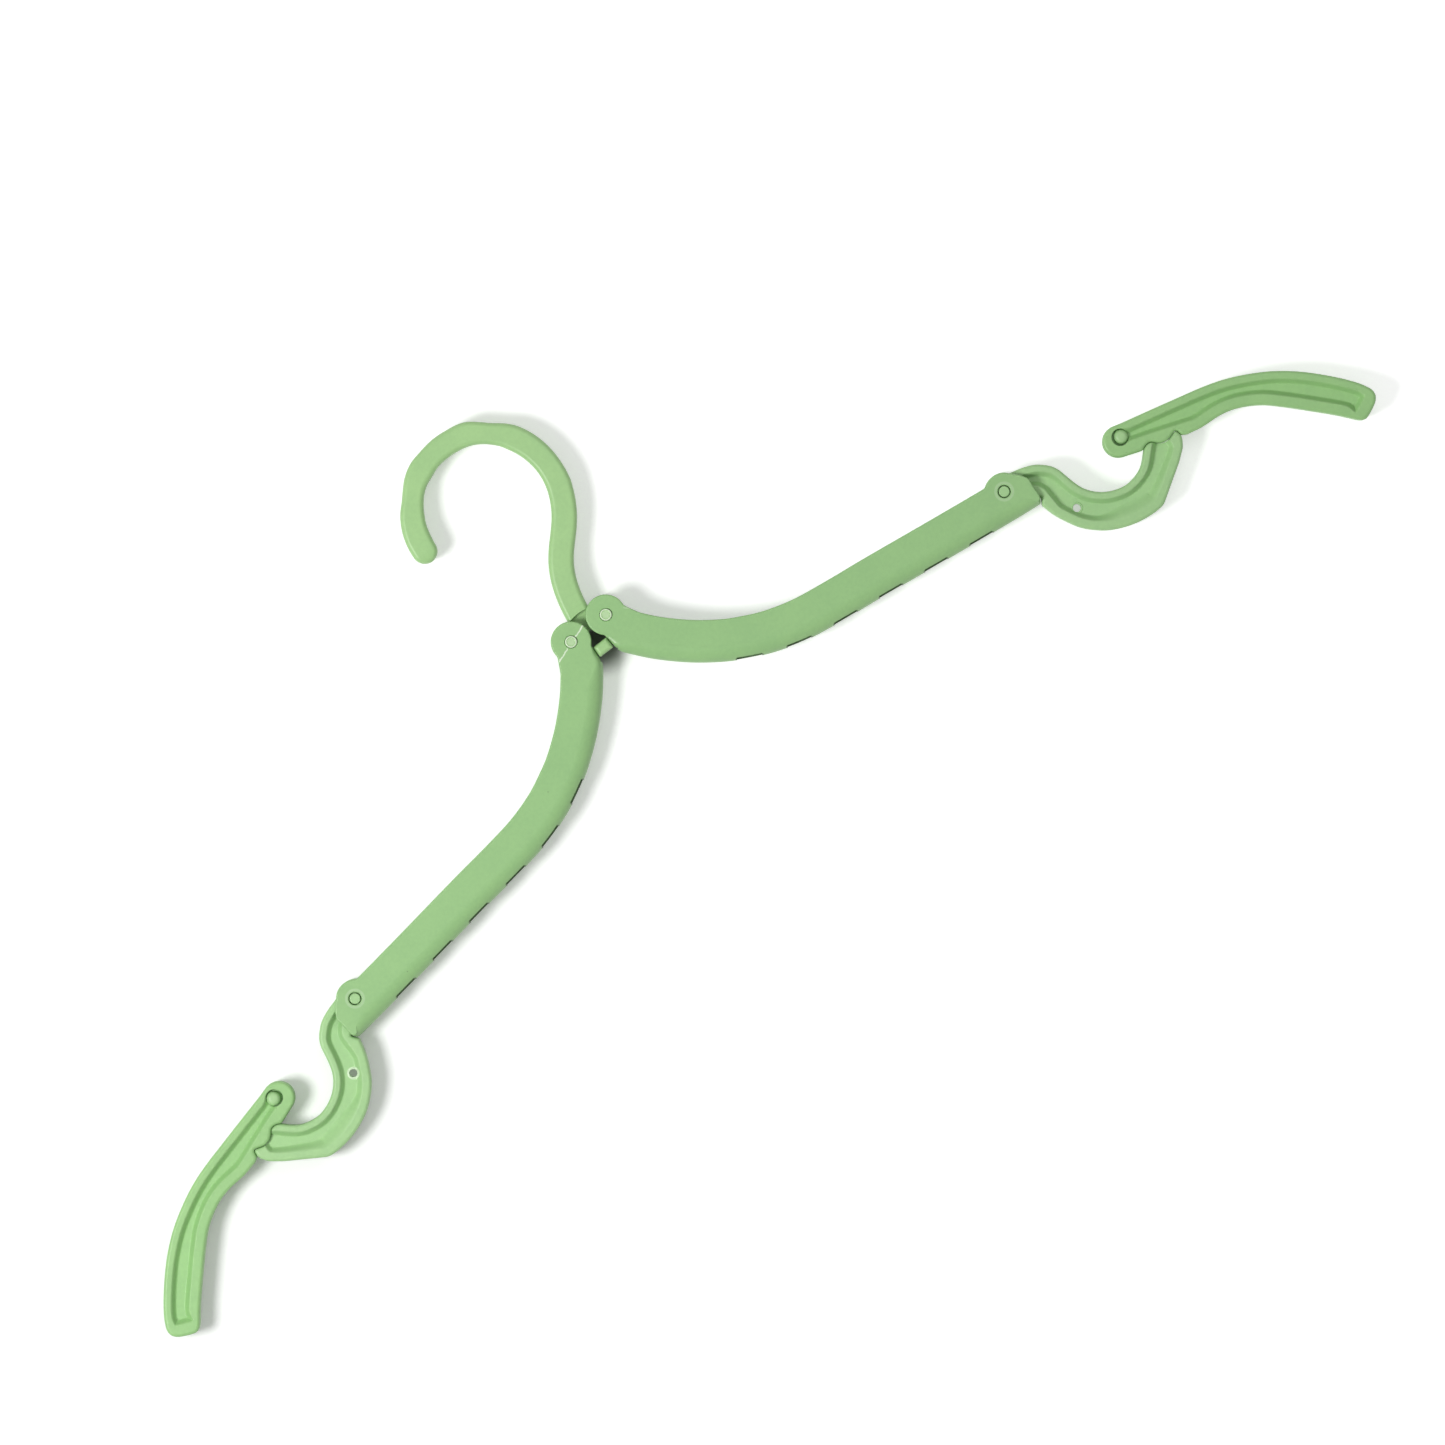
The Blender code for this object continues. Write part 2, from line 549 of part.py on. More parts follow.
def build_end_hook(side, finish):
    """A strap hook: neck, bowl with raised rims, tongue for the lever and the studs of both pivots."""
    name = "right_end_hook" if side > 0 else "left_end_hook"
    upper, lower, joint = hook_edges()
    shoulder = shoulder_line()
    over_floor = arm_floor(ARM_FLOOR + STOP_GAP)[-1]
    in_channel = [(shoulder[1][0], over_floor[1]), (shoulder[0][0], over_floor[1])]
    pivot_round = arc(END_PIVOT, NECK_PIVOT_RADIUS, 105, 290, 12)
    outline = lower + joint[::-1] + upper[-2::-1] + pivot_round + in_channel + shoulder
    hook = slab(name, rounded_layers(outline, NECK_HALF, EDGE_ROUND), END_PIVOT, side, finish)

    root = shifted(END_PIVOT, RECESS_ROOT_SHARES, NECK_REACH)
    mouth = shifted(LEVER_PIVOT, RECESS_MOUTH_SHARES, LEVER_EDGE_DROP)
    sunk_lower = [point for point in moved_left(lower, OUTER_RIM) if root[-1][0] < point[0] < mouth[0][0]]
    sunk_upper = [point for point in moved_left(upper, -INNER_RIM) if root[0][0] < point[0] < mouth[1][0]]
    recess = root + sunk_lower + mouth + sunk_upper[::-1]
    scoop = [BOWL_SCOOP * read_table(SCOOP_SHARES, i / len(sunk_lower)) for i in range(len(sunk_lower))]
    slopes = [RECESS_SLOPE] * len(root) + [RECESS_SLOPE + extra for extra in scoop]
    slopes += [0] * len(mouth) + [RECESS_SLOPE] * len(sunk_upper)
    deep = inset(recess, slopes)
    floor_y = NECK_HALF - BOWL_RECESS_DEPTH
    for face in (1, -1):
        face_y = face * (NECK_HALF + OVERRUN)
        layers = [(face * floor_y, deep), (face * (NECK_HALF - EDGE_ROUND), recess), (face_y, recess)]
        label = name + ("_back_recess" if face > 0 else "_front_recess")
        combine(hook, slab(label, layers, END_PIVOT, side), "DIFFERENCE")

    tongue = shifted(LEVER_PIVOT, TONGUE_ROOT_SHARES, LEVER_EDGE_DROP) + arc(LEVER_PIVOT, TONGUE_RADIUS, 25, 205, 12)
    combine(hook, plate(name + "_tongue", tongue, -TONGUE_HALF, TONGUE_HALF, END_PIVOT, side), "UNION")
    stud_half = NECK_HALF - LEVER_STUD_SUNK
    stud = disc(name + "_lever_stud", LEVER_PIVOT, LEVER_STUD_RADIUS, stud_half, END_PIVOT, side, 20, EDGE_ROUND)
    combine(hook, stud, "UNION")
    stud = disc(name + "_end_stud", END_PIVOT, END_STUD_RADIUS, ARM_THICKNESS / 2, END_PIVOT, side, 20)
    combine(hook, stud, "UNION")

    hole_centre = shifted(BOWL_CENTRE, (LANYARD_HOLE_SHARES,), BOWL_RADIUS)[0]
    ring_radius = LANYARD_HOLE_RADIUS + LANYARD_RING_WIDTH
    ring_half = floor_y + LANYARD_RING_HEIGHT
    combine(hook, disc(name + "_ring", hole_centre, ring_radius, ring_half, END_PIVOT, side, 16), "UNION")
    hole = disc(name + "_hole", hole_centre, LANYARD_HOLE_RADIUS, NECK_HALF, END_PIVOT, side, 16)
    combine(hook, hole, "DIFFERENCE")
    flatten(hook)
    return hook


def lever_edges():
    """The lever's top edge outwards, its tip, and its bottom edge back to the heel beside the end hook."""
    top = smooth(shifted(LEVER_PIVOT, LEVER_TOP_SHARES, LEVER_REACH), 2)
    tip = smooth([top[-1]] + shifted(LEVER_PIVOT, LEVER_TIP_SHARES, LEVER_REACH), 2)[1:]
    bottom = smooth([tip[-1]] + shifted(LEVER_PIVOT, LEVER_BOTTOM_SHARES, LEVER_REACH), 2)[1:]
    return top, tip, bottom


def build_lever(side, finish):
    """A shoulder lever: a curved bar with raised rims, forked round the end hook's tongue."""
    name = "right_lever" if side > 0 else "left_lever"
    top, tip, bottom = lever_edges()
    joint = moved_left(shifted(LEVER_PIVOT, JOINT_SHARES, LEVER_EDGE_DROP), STOP_GAP)
    round_centre = shifted(LEVER_PIVOT, (LEVER_END_SHARES,), LEVER_EDGE_DROP)[0]
    round_end = arc(round_centre, LEVER_END_RADIUS, 75, 250, 12)
    outline = round_end + joint + bottom[::-1] + tip[::-1] + top[::-1]
    lever = slab(name, rounded_layers(outline, NECK_HALF, EDGE_ROUND), LEVER_PIVOT, side, finish)

    floor_half = NECK_HALF - LEVER_RECESS_DEPTH
    hole_radius = LEVER_STUD_RADIUS + LEVER_PIVOT_GAP
    recess_radius = hole_radius + EDGE_ROUND / 2
    tip_floor = moved_left(tip, -(UPPER_RIM + LOWER_RIM) / 2)
    tip_floor = tip_floor[len(tip_floor) // 2:len(tip_floor) // 2 + 1]
    above_tip = tip_floor[0][1] + UPPER_RIM
    past_stud = LEVER_PIVOT[0] + recess_radius
    sunk_top = [point for point in moved_left(top, -UPPER_RIM) if point[0] > past_stud and point[1] > above_tip]
    sunk_bottom = [point for point in moved_left(bottom[:-3], -LOWER_RIM) if point[1] > tip_floor[0][1]]
    past_joint = shifted(LEVER_PIVOT, LOWER_WALL_SHARES, LEVER_EDGE_DROP)
    recess = arc(LEVER_PIVOT, recess_radius, 30, 280, 12) + past_joint + sunk_bottom[::-1] + tip_floor + sunk_top[::-1]
    for face in (1, -1):
        deep = inset(recess, RECESS_SLOPE)
        face_y = face * (NECK_HALF + OVERRUN)
        layers = [(face * floor_half, deep), (face * (NECK_HALF - EDGE_ROUND), recess), (face_y, recess)]
        label = name + ("_back_recess" if face > 0 else "_front_recess")
        combine(lever, slab(label, layers, LEVER_PIVOT, side), "DIFFERENCE")

    fork_half = TONGUE_HALF + FORK_GAP
    root = shifted(LEVER_PIVOT, FORK_ROOT_SHARES, LEVER_EDGE_DROP)
    far_left = LEVER_PIVOT[0] - LEVER_EDGE_DROP - LEVER_END_RADIUS
    fork = [(far_left, root[0][1]), (far_left, root[-1][1])] + root[::-1]
    combine(lever, plate(name + "_fork", fork, -fork_half, fork_half, LEVER_PIVOT, side), "DIFFERENCE")
    hole = disc(name + "_hole", LEVER_PIVOT, hole_radius, NECK_HALF + OVERRUN, LEVER_PIVOT, side)
    combine(lever, hole, "DIFFERENCE")
    flatten(lever)
    return lever


def main():
    for old in list(bpy.data.objects):
        bpy.data.objects.remove(old)
    hook_green = material("hook_green", (0.38, 0.59, 0.29), 0.42)
    arm_green = material("arm_green", (0.33, 0.53, 0.27), 0.45)
    end_hook_green = material("end_hook_green", (0.35, 0.56, 0.27), 0.45)
    lever_green = material("lever_green", (0.37, 0.59, 0.28), 0.45)
    hook = build_hook(hook_green)
    for side in (1, -1):
        arm = build_arm(side, arm_green)
        end_hook = build_end_hook(side, end_hook_green)
        lever = build_lever(side, lever_green)
        attach(arm, hook, mirrored(HUB_PIVOT, side), SEAT)
        attach(end_hook, arm, mirrored(END_PIVOT, side), mirrored(HUB_PIVOT, side))
        attach(lever, end_hook, mirrored(LEVER_PIVOT, side), mirrored(END_PIVOT, side))


main()
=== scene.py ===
import json
from math import cos, hypot, pi, radians, sin, sqrt

import bmesh
import bpy
import numpy as np
from mathutils import Matrix, Vector


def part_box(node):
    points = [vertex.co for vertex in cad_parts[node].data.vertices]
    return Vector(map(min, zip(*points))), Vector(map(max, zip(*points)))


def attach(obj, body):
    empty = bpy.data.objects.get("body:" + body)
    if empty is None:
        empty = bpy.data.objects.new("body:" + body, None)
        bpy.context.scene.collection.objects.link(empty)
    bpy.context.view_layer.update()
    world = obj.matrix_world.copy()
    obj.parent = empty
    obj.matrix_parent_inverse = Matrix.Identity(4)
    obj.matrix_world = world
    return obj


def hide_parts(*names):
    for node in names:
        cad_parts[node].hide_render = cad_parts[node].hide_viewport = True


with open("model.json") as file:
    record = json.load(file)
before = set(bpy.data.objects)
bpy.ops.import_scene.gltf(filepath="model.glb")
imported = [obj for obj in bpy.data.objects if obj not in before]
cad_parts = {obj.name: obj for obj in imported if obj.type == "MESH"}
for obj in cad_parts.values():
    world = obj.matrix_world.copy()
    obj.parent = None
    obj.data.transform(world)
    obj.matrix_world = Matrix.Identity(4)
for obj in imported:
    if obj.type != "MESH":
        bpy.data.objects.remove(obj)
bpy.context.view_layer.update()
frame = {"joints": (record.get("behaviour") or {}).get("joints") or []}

bl_info = {
    "name": "Folding Travel Hanger",
    "version": (1, 0, 0),
    "blender": (4, 5, 0),
    "location": "3D View > Sidebar > Hanger",
    "description": "Makes a folding travel hanger of moulded plastic on a white table top",
    "category": "Add Mesh",
}

PIVOTS = {joint["name"]: Vector(joint["pos_m"]) for joint in frame["joints"]}

# Outlines are drawn for the right-hand side in a plane whose origin is midway between the hub pivots, x
# outwards and z up. DRAWING_ORIGIN is that point in the frame.
DRAWING_ORIGIN = (PIVOTS["right_arm_fold"] + PIVOTS["left_arm_fold"]) / 2


def drawn(joint):
    """A pivot's place in the drawing plane."""
    place = PIVOTS[joint] - DRAWING_ORIGIN
    return (place.x, place.z)


HUB_PIVOT = drawn("right_arm_fold")
END_PIVOT = drawn("right_end_hook_fold")
LEVER_PIVOT = drawn("right_lever_fold")
LOOP_HEIGHT = 0.04335
LOOP_CENTRE = (-DRAWING_ORIGIN.x, LOOP_HEIGHT)
ARM_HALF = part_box("right_arm")[1].y
LEVER_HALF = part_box("right_lever")[1].y
STUD_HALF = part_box("hook")[1].y
CHANNEL_HALF = 0.0040
BAR_HALF = 0.0035
TONGUE_HALF = 0.0010

# Hook: its loop is a soft polygon. By angle in degrees, shares of the loop's radius to the bar's inner edge
# and of the bar's width
LOOP_RADIUS = 0.0174
BAR_WIDTH = 0.0070
LOOP_SHARES = (
    (-20, 1.006, 1.014), (-6, 0.997, 0.993), (12, 0.989, 1.003), (30, 0.991, 1.000), (37, 1.001, 0.943),
    (48, 1.011, 0.843), (57, 1.017, 0.871), (67, 1.017, 0.957), (78, 1.006, 0.936), (90, 1.000, 0.936),
    (102, 1.000, 0.921), (111, 0.989, 0.983), (120, 1.000, 0.930), (129, 1.001, 0.854), (138, 0.989, 0.857),
    (147, 0.979, 0.943), (157, 0.977, 0.986), (168, 0.972, 1.019), (177, 0.980, 1.000),
)
SHANK_FOOT = (-0.0002, 0.003)
SHANK_FOOT_ANGLE = 82.4
SHANK_LOWER_PULL = 0.022
SHANK_UPPER_PULL = 0.016
TIP_THINNING = 0.0014
TIP_END_ANGLE = radians(86)

# Hub: the web and the gap in it are drawn on the right and closed by their mirror image on the left
HUB_POCKET_RADIUS = 0.0120
HUB_POCKET_TOP = 0.0050
WEB_HALF = 0.00125
WEB_OUTLINE = ((0, -0.0072), (0.0033, -0.0072), (0.0045, -0.00615), HUB_PIVOT, (0.0028, 0.0056))
GAP_FOOT = ((0, -0.00615), (0.0021, -0.00615))
GAP_TOP = (0, -0.0005)
INNER_BOSS_RADIUS = 0.0041
INNER_BOSS_ANGLE = radians(215)
BOSS_RADIUS = 0.0044
BOSS_HALF = 0.0037
STOP_BAR_REACH = 0.00226
STOP_BAR_SPAN = (-0.0082, -0.0049)
STOP_BAR_HALF = 0.0046
STOP_BAR_ROUND = 0.0011
STOP_BAR_SPACING = 0.0002

# Studs and holes
STUD_ROUND = 0.0003
HUB_STUD_HALF = ARM_HALF + 0.0003
HUB_STUD_ROUND = 0.0001
HEAD_LIFT = 0.00004
HEAD_UNDERCUT = 0.0001
LEVER_STUD_HALF = LEVER_HALF - 0.0001
LEVER_STUD_ROUND = 0.0013
HOLE_RIM = 0.0002
CLEARANCE = 0.0003

# Arm. An ear runs from one angle to another, both in degrees, in so many steps
HEEL_DROPS = (0.00602, 0.00732, 0.00862)
ARM_BOTTOM = (
    (-0.0285, -0.249), (-0.019, -0.288), (0.018, -0.407), (0.0555, -0.509), (0.093, -0.599), (0.130, -0.676),
    (0.177, -0.7615), (0.224, -0.829), (0.271, -0.888), (0.317, -0.932), (0.364, -0.967), (0.411, -0.993),
    (0.504, -1.028), (0.598, -1.059), (0.785, -1.128), (0.972, -1.194),
)
NOSE = ((0.605, 0.349), (0.829, 0.112), (0.993, -0.178), (0.947, -0.441), (0.914, -0.954), (0.783, -1.171))
NOSE_REACH = 0.0076
HEEL_X = 0.0024
ARM_DEPTH = 0.0117
ARM_FLOOR = 0.0015
EAR_RADIUS = 0.0056
END_EAR_RADIUS = 0.00525
END_EAR_ARC = (48, 130, 24)
HUB_EAR_ARC = (-10, 230, 60)
FILLET_GROWTH = ((0.0, 0.22), (0.03, 0.42), (0.08, 1.0), (0.95, 1.0), (1.0, 0.5))

# End hook
NECK_REACH = 0.0161
NECK_TOP = ((0.311, 0.183), (0.497, 0.130), (0.683, 0.050), (0.807, -0.047), (0.907, -0.158), (0.969, -0.283))
NECK_RADIUS = 0.0048
NECK_ARC = (105, 290, 40)
BOWL_RADIUS = 0.013
BOWL_CENTRE = (LEVER_PIVOT[0] - 0.481 * BOWL_RADIUS, LEVER_PIVOT[1] + 0.165 * BOWL_RADIUS)
BOWL_INNER = (
    (-0.946, -0.083), (-0.905, -0.277), (-0.839, -0.485), (-0.723, -0.677), (-0.546, -0.846),
    (-0.318, -0.971), (-0.060, -1.034), (0.195, -1.008), (0.398, -0.933), (0.552, -0.812),
)
BOWL_OUTER = (
    (-1.648, -0.600), (-1.525, -0.881), (-1.373, -1.152), (-1.162, -1.385), (-0.915, -1.581),
    (-0.628, -1.724), (-0.323, -1.822), (0.000, -1.869), (0.250, -1.866),
)
BOWL_FLANK = ((0.345, -1.838), (0.608, -1.670), (1.128, -1.342), (1.373, -1.152), (1.470, -1.010))
LANYARD_HOLE = (-1.177, -0.781)
LANYARD_HOLE_RADIUS = 0.0011
LANYARD_RING_RADIUS = 0.0016
SCOOP_SHARES = ((0.0, 0.0), (0.25, 0.1), (0.42, 1.0), (0.58, 1.0), (0.76, 0.3), (1.0, 0.0))
RECESS_ROOT = ((0.304, -0.183), (0.410, -0.214), (0.497, -0.283), (0.553, -0.388))

# Where the end hook and the lever meet
JOINT_DROP = 0.0055
JOINT_LINE = (
    (0.464, -1.245), (0.564, -1.173), (0.727, -1.118), (0.891, -1.109), (1.018, -1.155), (1.118, -1.264),
    (1.255, -1.409), (1.418, -1.518), (1.600, -1.582), (1.782, -1.591), (1.982, -1.545), (2.182, -1.473),
    (2.309, -1.445), (2.373, -1.545), (2.409, -1.800),
)
RECESS_MOUTH = ((1.880, -1.180), (1.220, -0.960))
TONGUE_ROOT = ((0.60, -1.33), (1.25, -1.60))
FORK_ROOT = ((0.86, 1.60), (0.86, -0.42), (1.90, -1.75), (1.90, -2.40))
RECESS_TIP = ((0.8758, -0.5594), (0.9607, -0.5241))
LOWER_WALL = ((0.790, -0.673), (2.050, -1.130))
TONGUE_RADIUS = 0.0030
TONGUE_ARC = (25, 205, 32)
STUD_WALL_ARC = (30, 280, 32)

# Lever
LEVER_REACH = 0.0624
LEVER_END = (-0.24, -0.12)
LEVER_END_RADIUS = 0.00445
LEVER_END_ARC = (75, 250, 40)
LEVER_TOP = (
    (0.038, 0.046), (0.166, 0.015), (0.294, -0.017), (0.422, -0.050), (0.518, -0.083), (0.615, -0.130),
    (0.711, -0.189), (0.807, -0.269), (0.903, -0.372), (0.967, -0.455), (0.996, -0.508),
)
LEVER_TIP = (
    (0.999, -0.530), (0.992, -0.553), (0.967, -0.575), (0.912, -0.600), (0.890, -0.601), (0.870, -0.588),
)
LEVER_BOTTOM = (
    (0.807, -0.511), (0.711, -0.407), (0.647, -0.340), (0.583, -0.279), (0.518, -0.236), (0.454, -0.2075),
    (0.390, -0.194), (0.310, -0.188), (0.262, -0.178), (0.235, -0.172),
)

# Points of smoothed edges: those of the arm's bottom edge round its heel, where no top edge runs above them,
# those before its channel's floor begins, and those of the lever's bottom edge at its root
HEEL_POINTS = 19
FLOOR_START = 12
ROOT_POINTS = 9

# Marks: pale rings by radius, width and strength, and pale lines by side, ends in millimetres, width and
# strength. The ring along the rim of each hub stud head is a painted highlight, and the line on the right
# heel is partly a painted highlight. Pale marks lie at the front face only, the painted shade of the slots
# only between the walls of the windows
# Painted highlight: the first ring lies along the rim of each hub stud head; the second, a disc, is the
# head's paler colour
HEAD_HIGHLIGHT_AND_DISC = ((0.00148, 0.0003, 0.8), (0.0, 0.0018, 0.3))
END_RING = (0.0024, 0.0005, 0.22)
LANYARD_RING = (0.0014, 0.0005, 0.8)
# Pale lines; the third, on the right heel, is partly stress whitening and partly a painted highlight along
# the fillet's edge
CREASES_AND_HEEL_HIGHLIGHT = (
    (-1, (11.8, -2.4), (8.0, -0.9), 0.00028, 1.0), (-1, (4.4, 0.3), (0.2, 1.6), 0.00030, 1.0),
    (1, (2.9, -5.6), (3.4, -7.6), 0.00030, 0.5), (1, (11.2, -1.6), (12.6, -2.8), 0.00025, 0.35),
)
PALE_COLOUR = (0.80, 0.90, 0.72)
MARK_DEPTHS = (0.0009, 0.0005)
MARK_WANDER = 0.0007
MARK_CORE = 0.35
SLOT_MARGIN = 0.0005
SLOT_FRONT = (-0.0037, -0.0035)
SLOT_BACK = (0.0032, 0.0036)
SLOT_SIDE = (0.0008, 0.001)
# Painted shade: how dark the plastic is made round the windows' lines
SLOT_PAINTED_SHADE = 0.3

# Stage: the lights lie in directions given as shares of right, up and towards the camera in the picture
TABLE_REACH = 3.0
TABLE_WHITE = (0.93, 0.93, 0.93)
# Painted shadow: colour of the darker paper round the hub
HUB_PAINTED_SHADE = (0.34, 0.34, 0.34)
KEY_AIM = (-1.0, -0.4, 1.5)
TOP_AIM = (0.4, 1.0, 2.2)

# Meshes. A point moved inwards is good if at least INSET_SHARE of its way lies between it and the outline
INSET_SHARE = 0.985
HAIR = 1e-7
NOTHING = 1e-9
MILLIMETRES = 1000
SPACING = 0.00035
FINE_SPACING = 0.0001
OVERRUN = 0.002
SHARP_ANGLE = radians(32)
MERGE_DISTANCE = 2e-6
SHORT_EDGE = 1e-6


def setting(name, description, default, low, high, unit="LENGTH"):
    """A number that a user can change, a length unless its unit says otherwise."""
    return bpy.props.FloatProperty(
        name=name, description=description, default=default, min=low, max=high, unit=unit)


def colour_setting(name, description, default):
    """A colour that a user can change, in linear light."""
    return bpy.props.FloatVectorProperty(
        name=name, description=description, subtype="COLOR", size=3, default=default, min=0, max=1)


class HangerSizes(bpy.types.PropertyGroup):
    """Sizes of the mouldings that a user would change."""
    edge_round: setting(
        "Edge rounding", "Radius of the outer edges of the levers and end hooks", 0.0009, 0.0002, 0.0015)
    wall_slope: setting(
        "Wall slope", "Width of the soft walls between a rim and the sunk floor", 0.0017, 0.0002, 0.002)
    scoop: setting("Bowl scoop", "How much wider the wall is at the bottom of the bowl", 0.0026, 0, 0.003)
    fillet_rise: setting(
        "Fillet rise", "How far the rounded bottom edges reach up an arm's faces", 0.0044, 0.0005, 0.005)
    fillet_depth: setting(
        "Fillet depth", "How far the rounded bottom edges reach in from an arm's faces",
        0.0036, 0.0005, 0.004)
    arm_round: setting(
        "Arm edge rounding", "Radius of the arms' top edges and ears", 0.00045, 0.0001, 0.0007)
    bar_round: setting("Bar rounding", "Radius of the long edges of the hook's bar", 0.0014, 0.0004, 0.003)
    hub_stud: setting("Hub stud radius", "Radius of the studs that the arms turn on", 0.0016, 0.001, 0.0018)
    end_stud: setting(
        "End stud radius", "Radius of the studs that the end hooks turn on", 0.0015, 0.001, 0.0018)
    stud_head: setting(
        "Stud head radius", "Radius of the heads of the hub's studs", 0.00166, 0.0016, 0.0025)
    lever_stud: setting(
        "Lever stud radius", "Radius of the studs that the levers turn on", 0.0020, 0.0015, 0.0023)
    hub_gap: setting("Hub gap", "Gap round each of the hub's studs in its hole", 0.00014, 0.00002, 0.0005)
    end_gap: setting("End gap", "Gap round each stud at the ends of the arms", 0.00028, 0.00002, 0.0005)
    lever_hole: setting(
        "Lever hole radius", "Radius of the hole that a lever turns in", 0.0024, 0.0021, 0.003)
    lever_play: setting(
        "Lever play", "How far that hole's middle lies on the hub's side of its stud", 0.00036, 0, 0.0004)
    joint_gap: setting("Joint gap", "Gap between an end hook and its lever", 0.00012, 0.0001, 0.0005)
    upper_rim: setting("Upper rim", "Width of the lever's upper rim", 0.0019, 0.001, 0.004)
    lower_rim: setting("Lower rim", "Width of the lever's lower rim", 0.0027, 0.001, 0.004)
    inner_rim: setting("Inner rim", "Width of the bowl's inner rim", 0.0017, 0.001, 0.004)
    outer_rim: setting("Outer rim", "Width of the bowl's outer rim", 0.0022, 0.001, 0.005)
    bowl_recess: setting(
        "Bowl recess", "Depth of the sunk floor in each face of an end hook", 0.0021, 0.0003, 0.0027)
    lever_recess: setting(
        "Lever recess", "Depth of the sunk floor in each face of a lever", 0.0018, 0.0003, 0.0022)
    window_count: bpy.props.IntProperty(
        name="Windows", description="How many slots each arm's floor has", default=6, min=1, max=8)
    window_start: setting(
        "First window", "Distance along the bottom edge from the heel to the first slot", 0.0368, 0.02, 0.06)
    window_pitch: setting("Window pitch", "Distance from one slot to the next", 0.0144, 0.008, 0.02)
    window_length: setting("Window length", "Length of a slot along the arm", 0.0071, 0.002, 0.012)
    window_width: setting("Window width", "Width of a slot across the arm", 0.0068, 0.002, 0.0078)
    window_shift: setting(
        "Window shift", "How far the slots lie in front of an arm's middle", 0.0004, -0.001, 0.001)


class HangerColours(bpy.types.PropertyGroup):
    """Colours of the four mouldings, in linear light."""
    hook: colour_setting("Hook", "Colour of the rod hook and its hub", (0.350, 0.580, 0.250))
    arm: colour_setting("Arms", "Colour of the two arms", (0.293, 0.517, 0.216))
    end_hook: colour_setting("End hooks", "Colour of the two end hooks", (0.350, 0.585, 0.265))
    lever: colour_setting("Levers", "Colour of the two levers", (0.305, 0.550, 0.218))


class StageSettings(bpy.types.PropertyGroup):
    """The table top, the lights and the camera."""
    table_gap: setting("Table gap", "Gap behind the hub's studs", 0.0002, 0, 0.1)
    picture_width: setting(
        "Picture width", "Width of the picture at the front of the hanger", 0.3966, 0.1, 2)
    picture_centre: bpy.props.FloatVectorProperty(
        name="Picture centre", description="Place that the camera looks at", size=3, subtype="TRANSLATION",
        default=(0.01499, -0.004, -0.10377), unit="LENGTH")
    camera_distance: setting("Camera distance", "From the front of the hanger", 3.0, 0.3, 10)
    picture_turn: bpy.props.FloatProperty(
        name="Picture turn", description="How far the hanger is turned anticlockwise in the picture",
        default=radians(37.993), subtype="ANGLE")
    key_distance: setting("Key distance", "From the hanger to the key light", 0.95, 0.2, 5)
    key_size: setting("Key size", "Width of the key light", 0.29, 0.05, 3)
    key_power: setting("Key power", "Power of the key light", 5.8, 0, 500, "POWER")
    top_distance: setting("Top distance", "From the hanger to the wide light above it", 1.2, 0.2, 5)
    top_size: setting("Top size", "Width of the wide light", 0.7, 0.05, 3)
    top_power: setting("Top power", "Power of the wide light", 1.8, 0, 500, "POWER")
    fill_strength: setting("Fill strength", "Strength of the white room", 0.34, 0, 2, "NONE")
    near_glow: setting(
        "Near glow", "How far the table top is lifted to white for the camera, beside the key light",
        0.10, 0, 1, "NONE")
    far_glow: setting(
        "Far glow", "How far the table top is lifted to white for the camera, away from the key light",
        0.50, 0, 1, "NONE")
    # Painted shadow: radius of the darker, unlifted paper round the hub
    painted_hub_shade: setting(
        "Hub shade", "Radius round the hub within which the table top is darker and isn't lifted to white",
        0.0105, 0.001, 0.1)


def smooth(points, steps):
    """A Catmull-Rom curve through the points, with the given number of steps between neighbours."""
    ends = [tuple(2 * a - b for a, b in zip(points[0], points[1]))]
    ends += list(points)
    ends += [tuple(2 * a - b for a, b in zip(points[-1], points[-2]))]
    curve = []
    for p0, p1, p2, p3 in zip(ends, ends[1:], ends[2:], ends[3:]):
        for i in range(steps):
            t = i / steps
            curve.append(tuple(
                b + t * ((c - a) + t * ((2 * a - 5 * b + 4 * c - d) + t * (3 * b - a - 3 * c + d))) / 2
                for a, b, c, d in zip(p0, p1, p2, p3)
            ))
    curve.append(tuple(points[-1]))
    return curve


def placed(origin, shares, width, height=None):
    """Points given as shares of a width and a height, counted from origin."""
    height = width if height is None else height
    return [(origin[0] + x * width, origin[1] + z * height) for x, z in shares]


def polar(centre, radius, angle):
    return (centre[0] + radius * cos(angle), centre[1] + radius * sin(angle))


def arc(centre, radius, start, end, steps):
    """Points on a circle from one angle to another, both in degrees."""
    return [polar(centre, radius, radians(start + (end - start) * i / steps)) for i in range(steps + 1)]


def resampled(points, spacing, closed=True):
    """The same line with points evenly spaced along it."""
    line = np.array(list(points) + ([points[0]] if closed else []))
    run = np.concatenate(([0], np.cumsum(np.hypot(*np.diff(line, axis=0).T))))
    count = max(int(round(run[-1] / spacing)), 8)
    at = np.linspace(0, run[-1], count + 1)
    if closed:
        at = at[:-1]
    return np.stack([np.interp(at, run, line[:, 0]), np.interp(at, run, line[:, 1])], 1)


def softened(points, passes):
    """A closed outline with its corners eased a little."""
    for _ in range(passes):
        points = (np.roll(points, 1, 0) + 2 * points + np.roll(points, -1, 0)) / 4
    return points


def outline_of(points, passes=2, spacing=SPACING):
    """A closed, even and slightly eased outline that runs anticlockwise."""
    line = resampled(points, spacing)
    x, z = line.T
    if np.sum(x * np.roll(z, -1) - z * np.roll(x, -1)) < 0:
        line = line[::-1]
    return softened(line, passes)


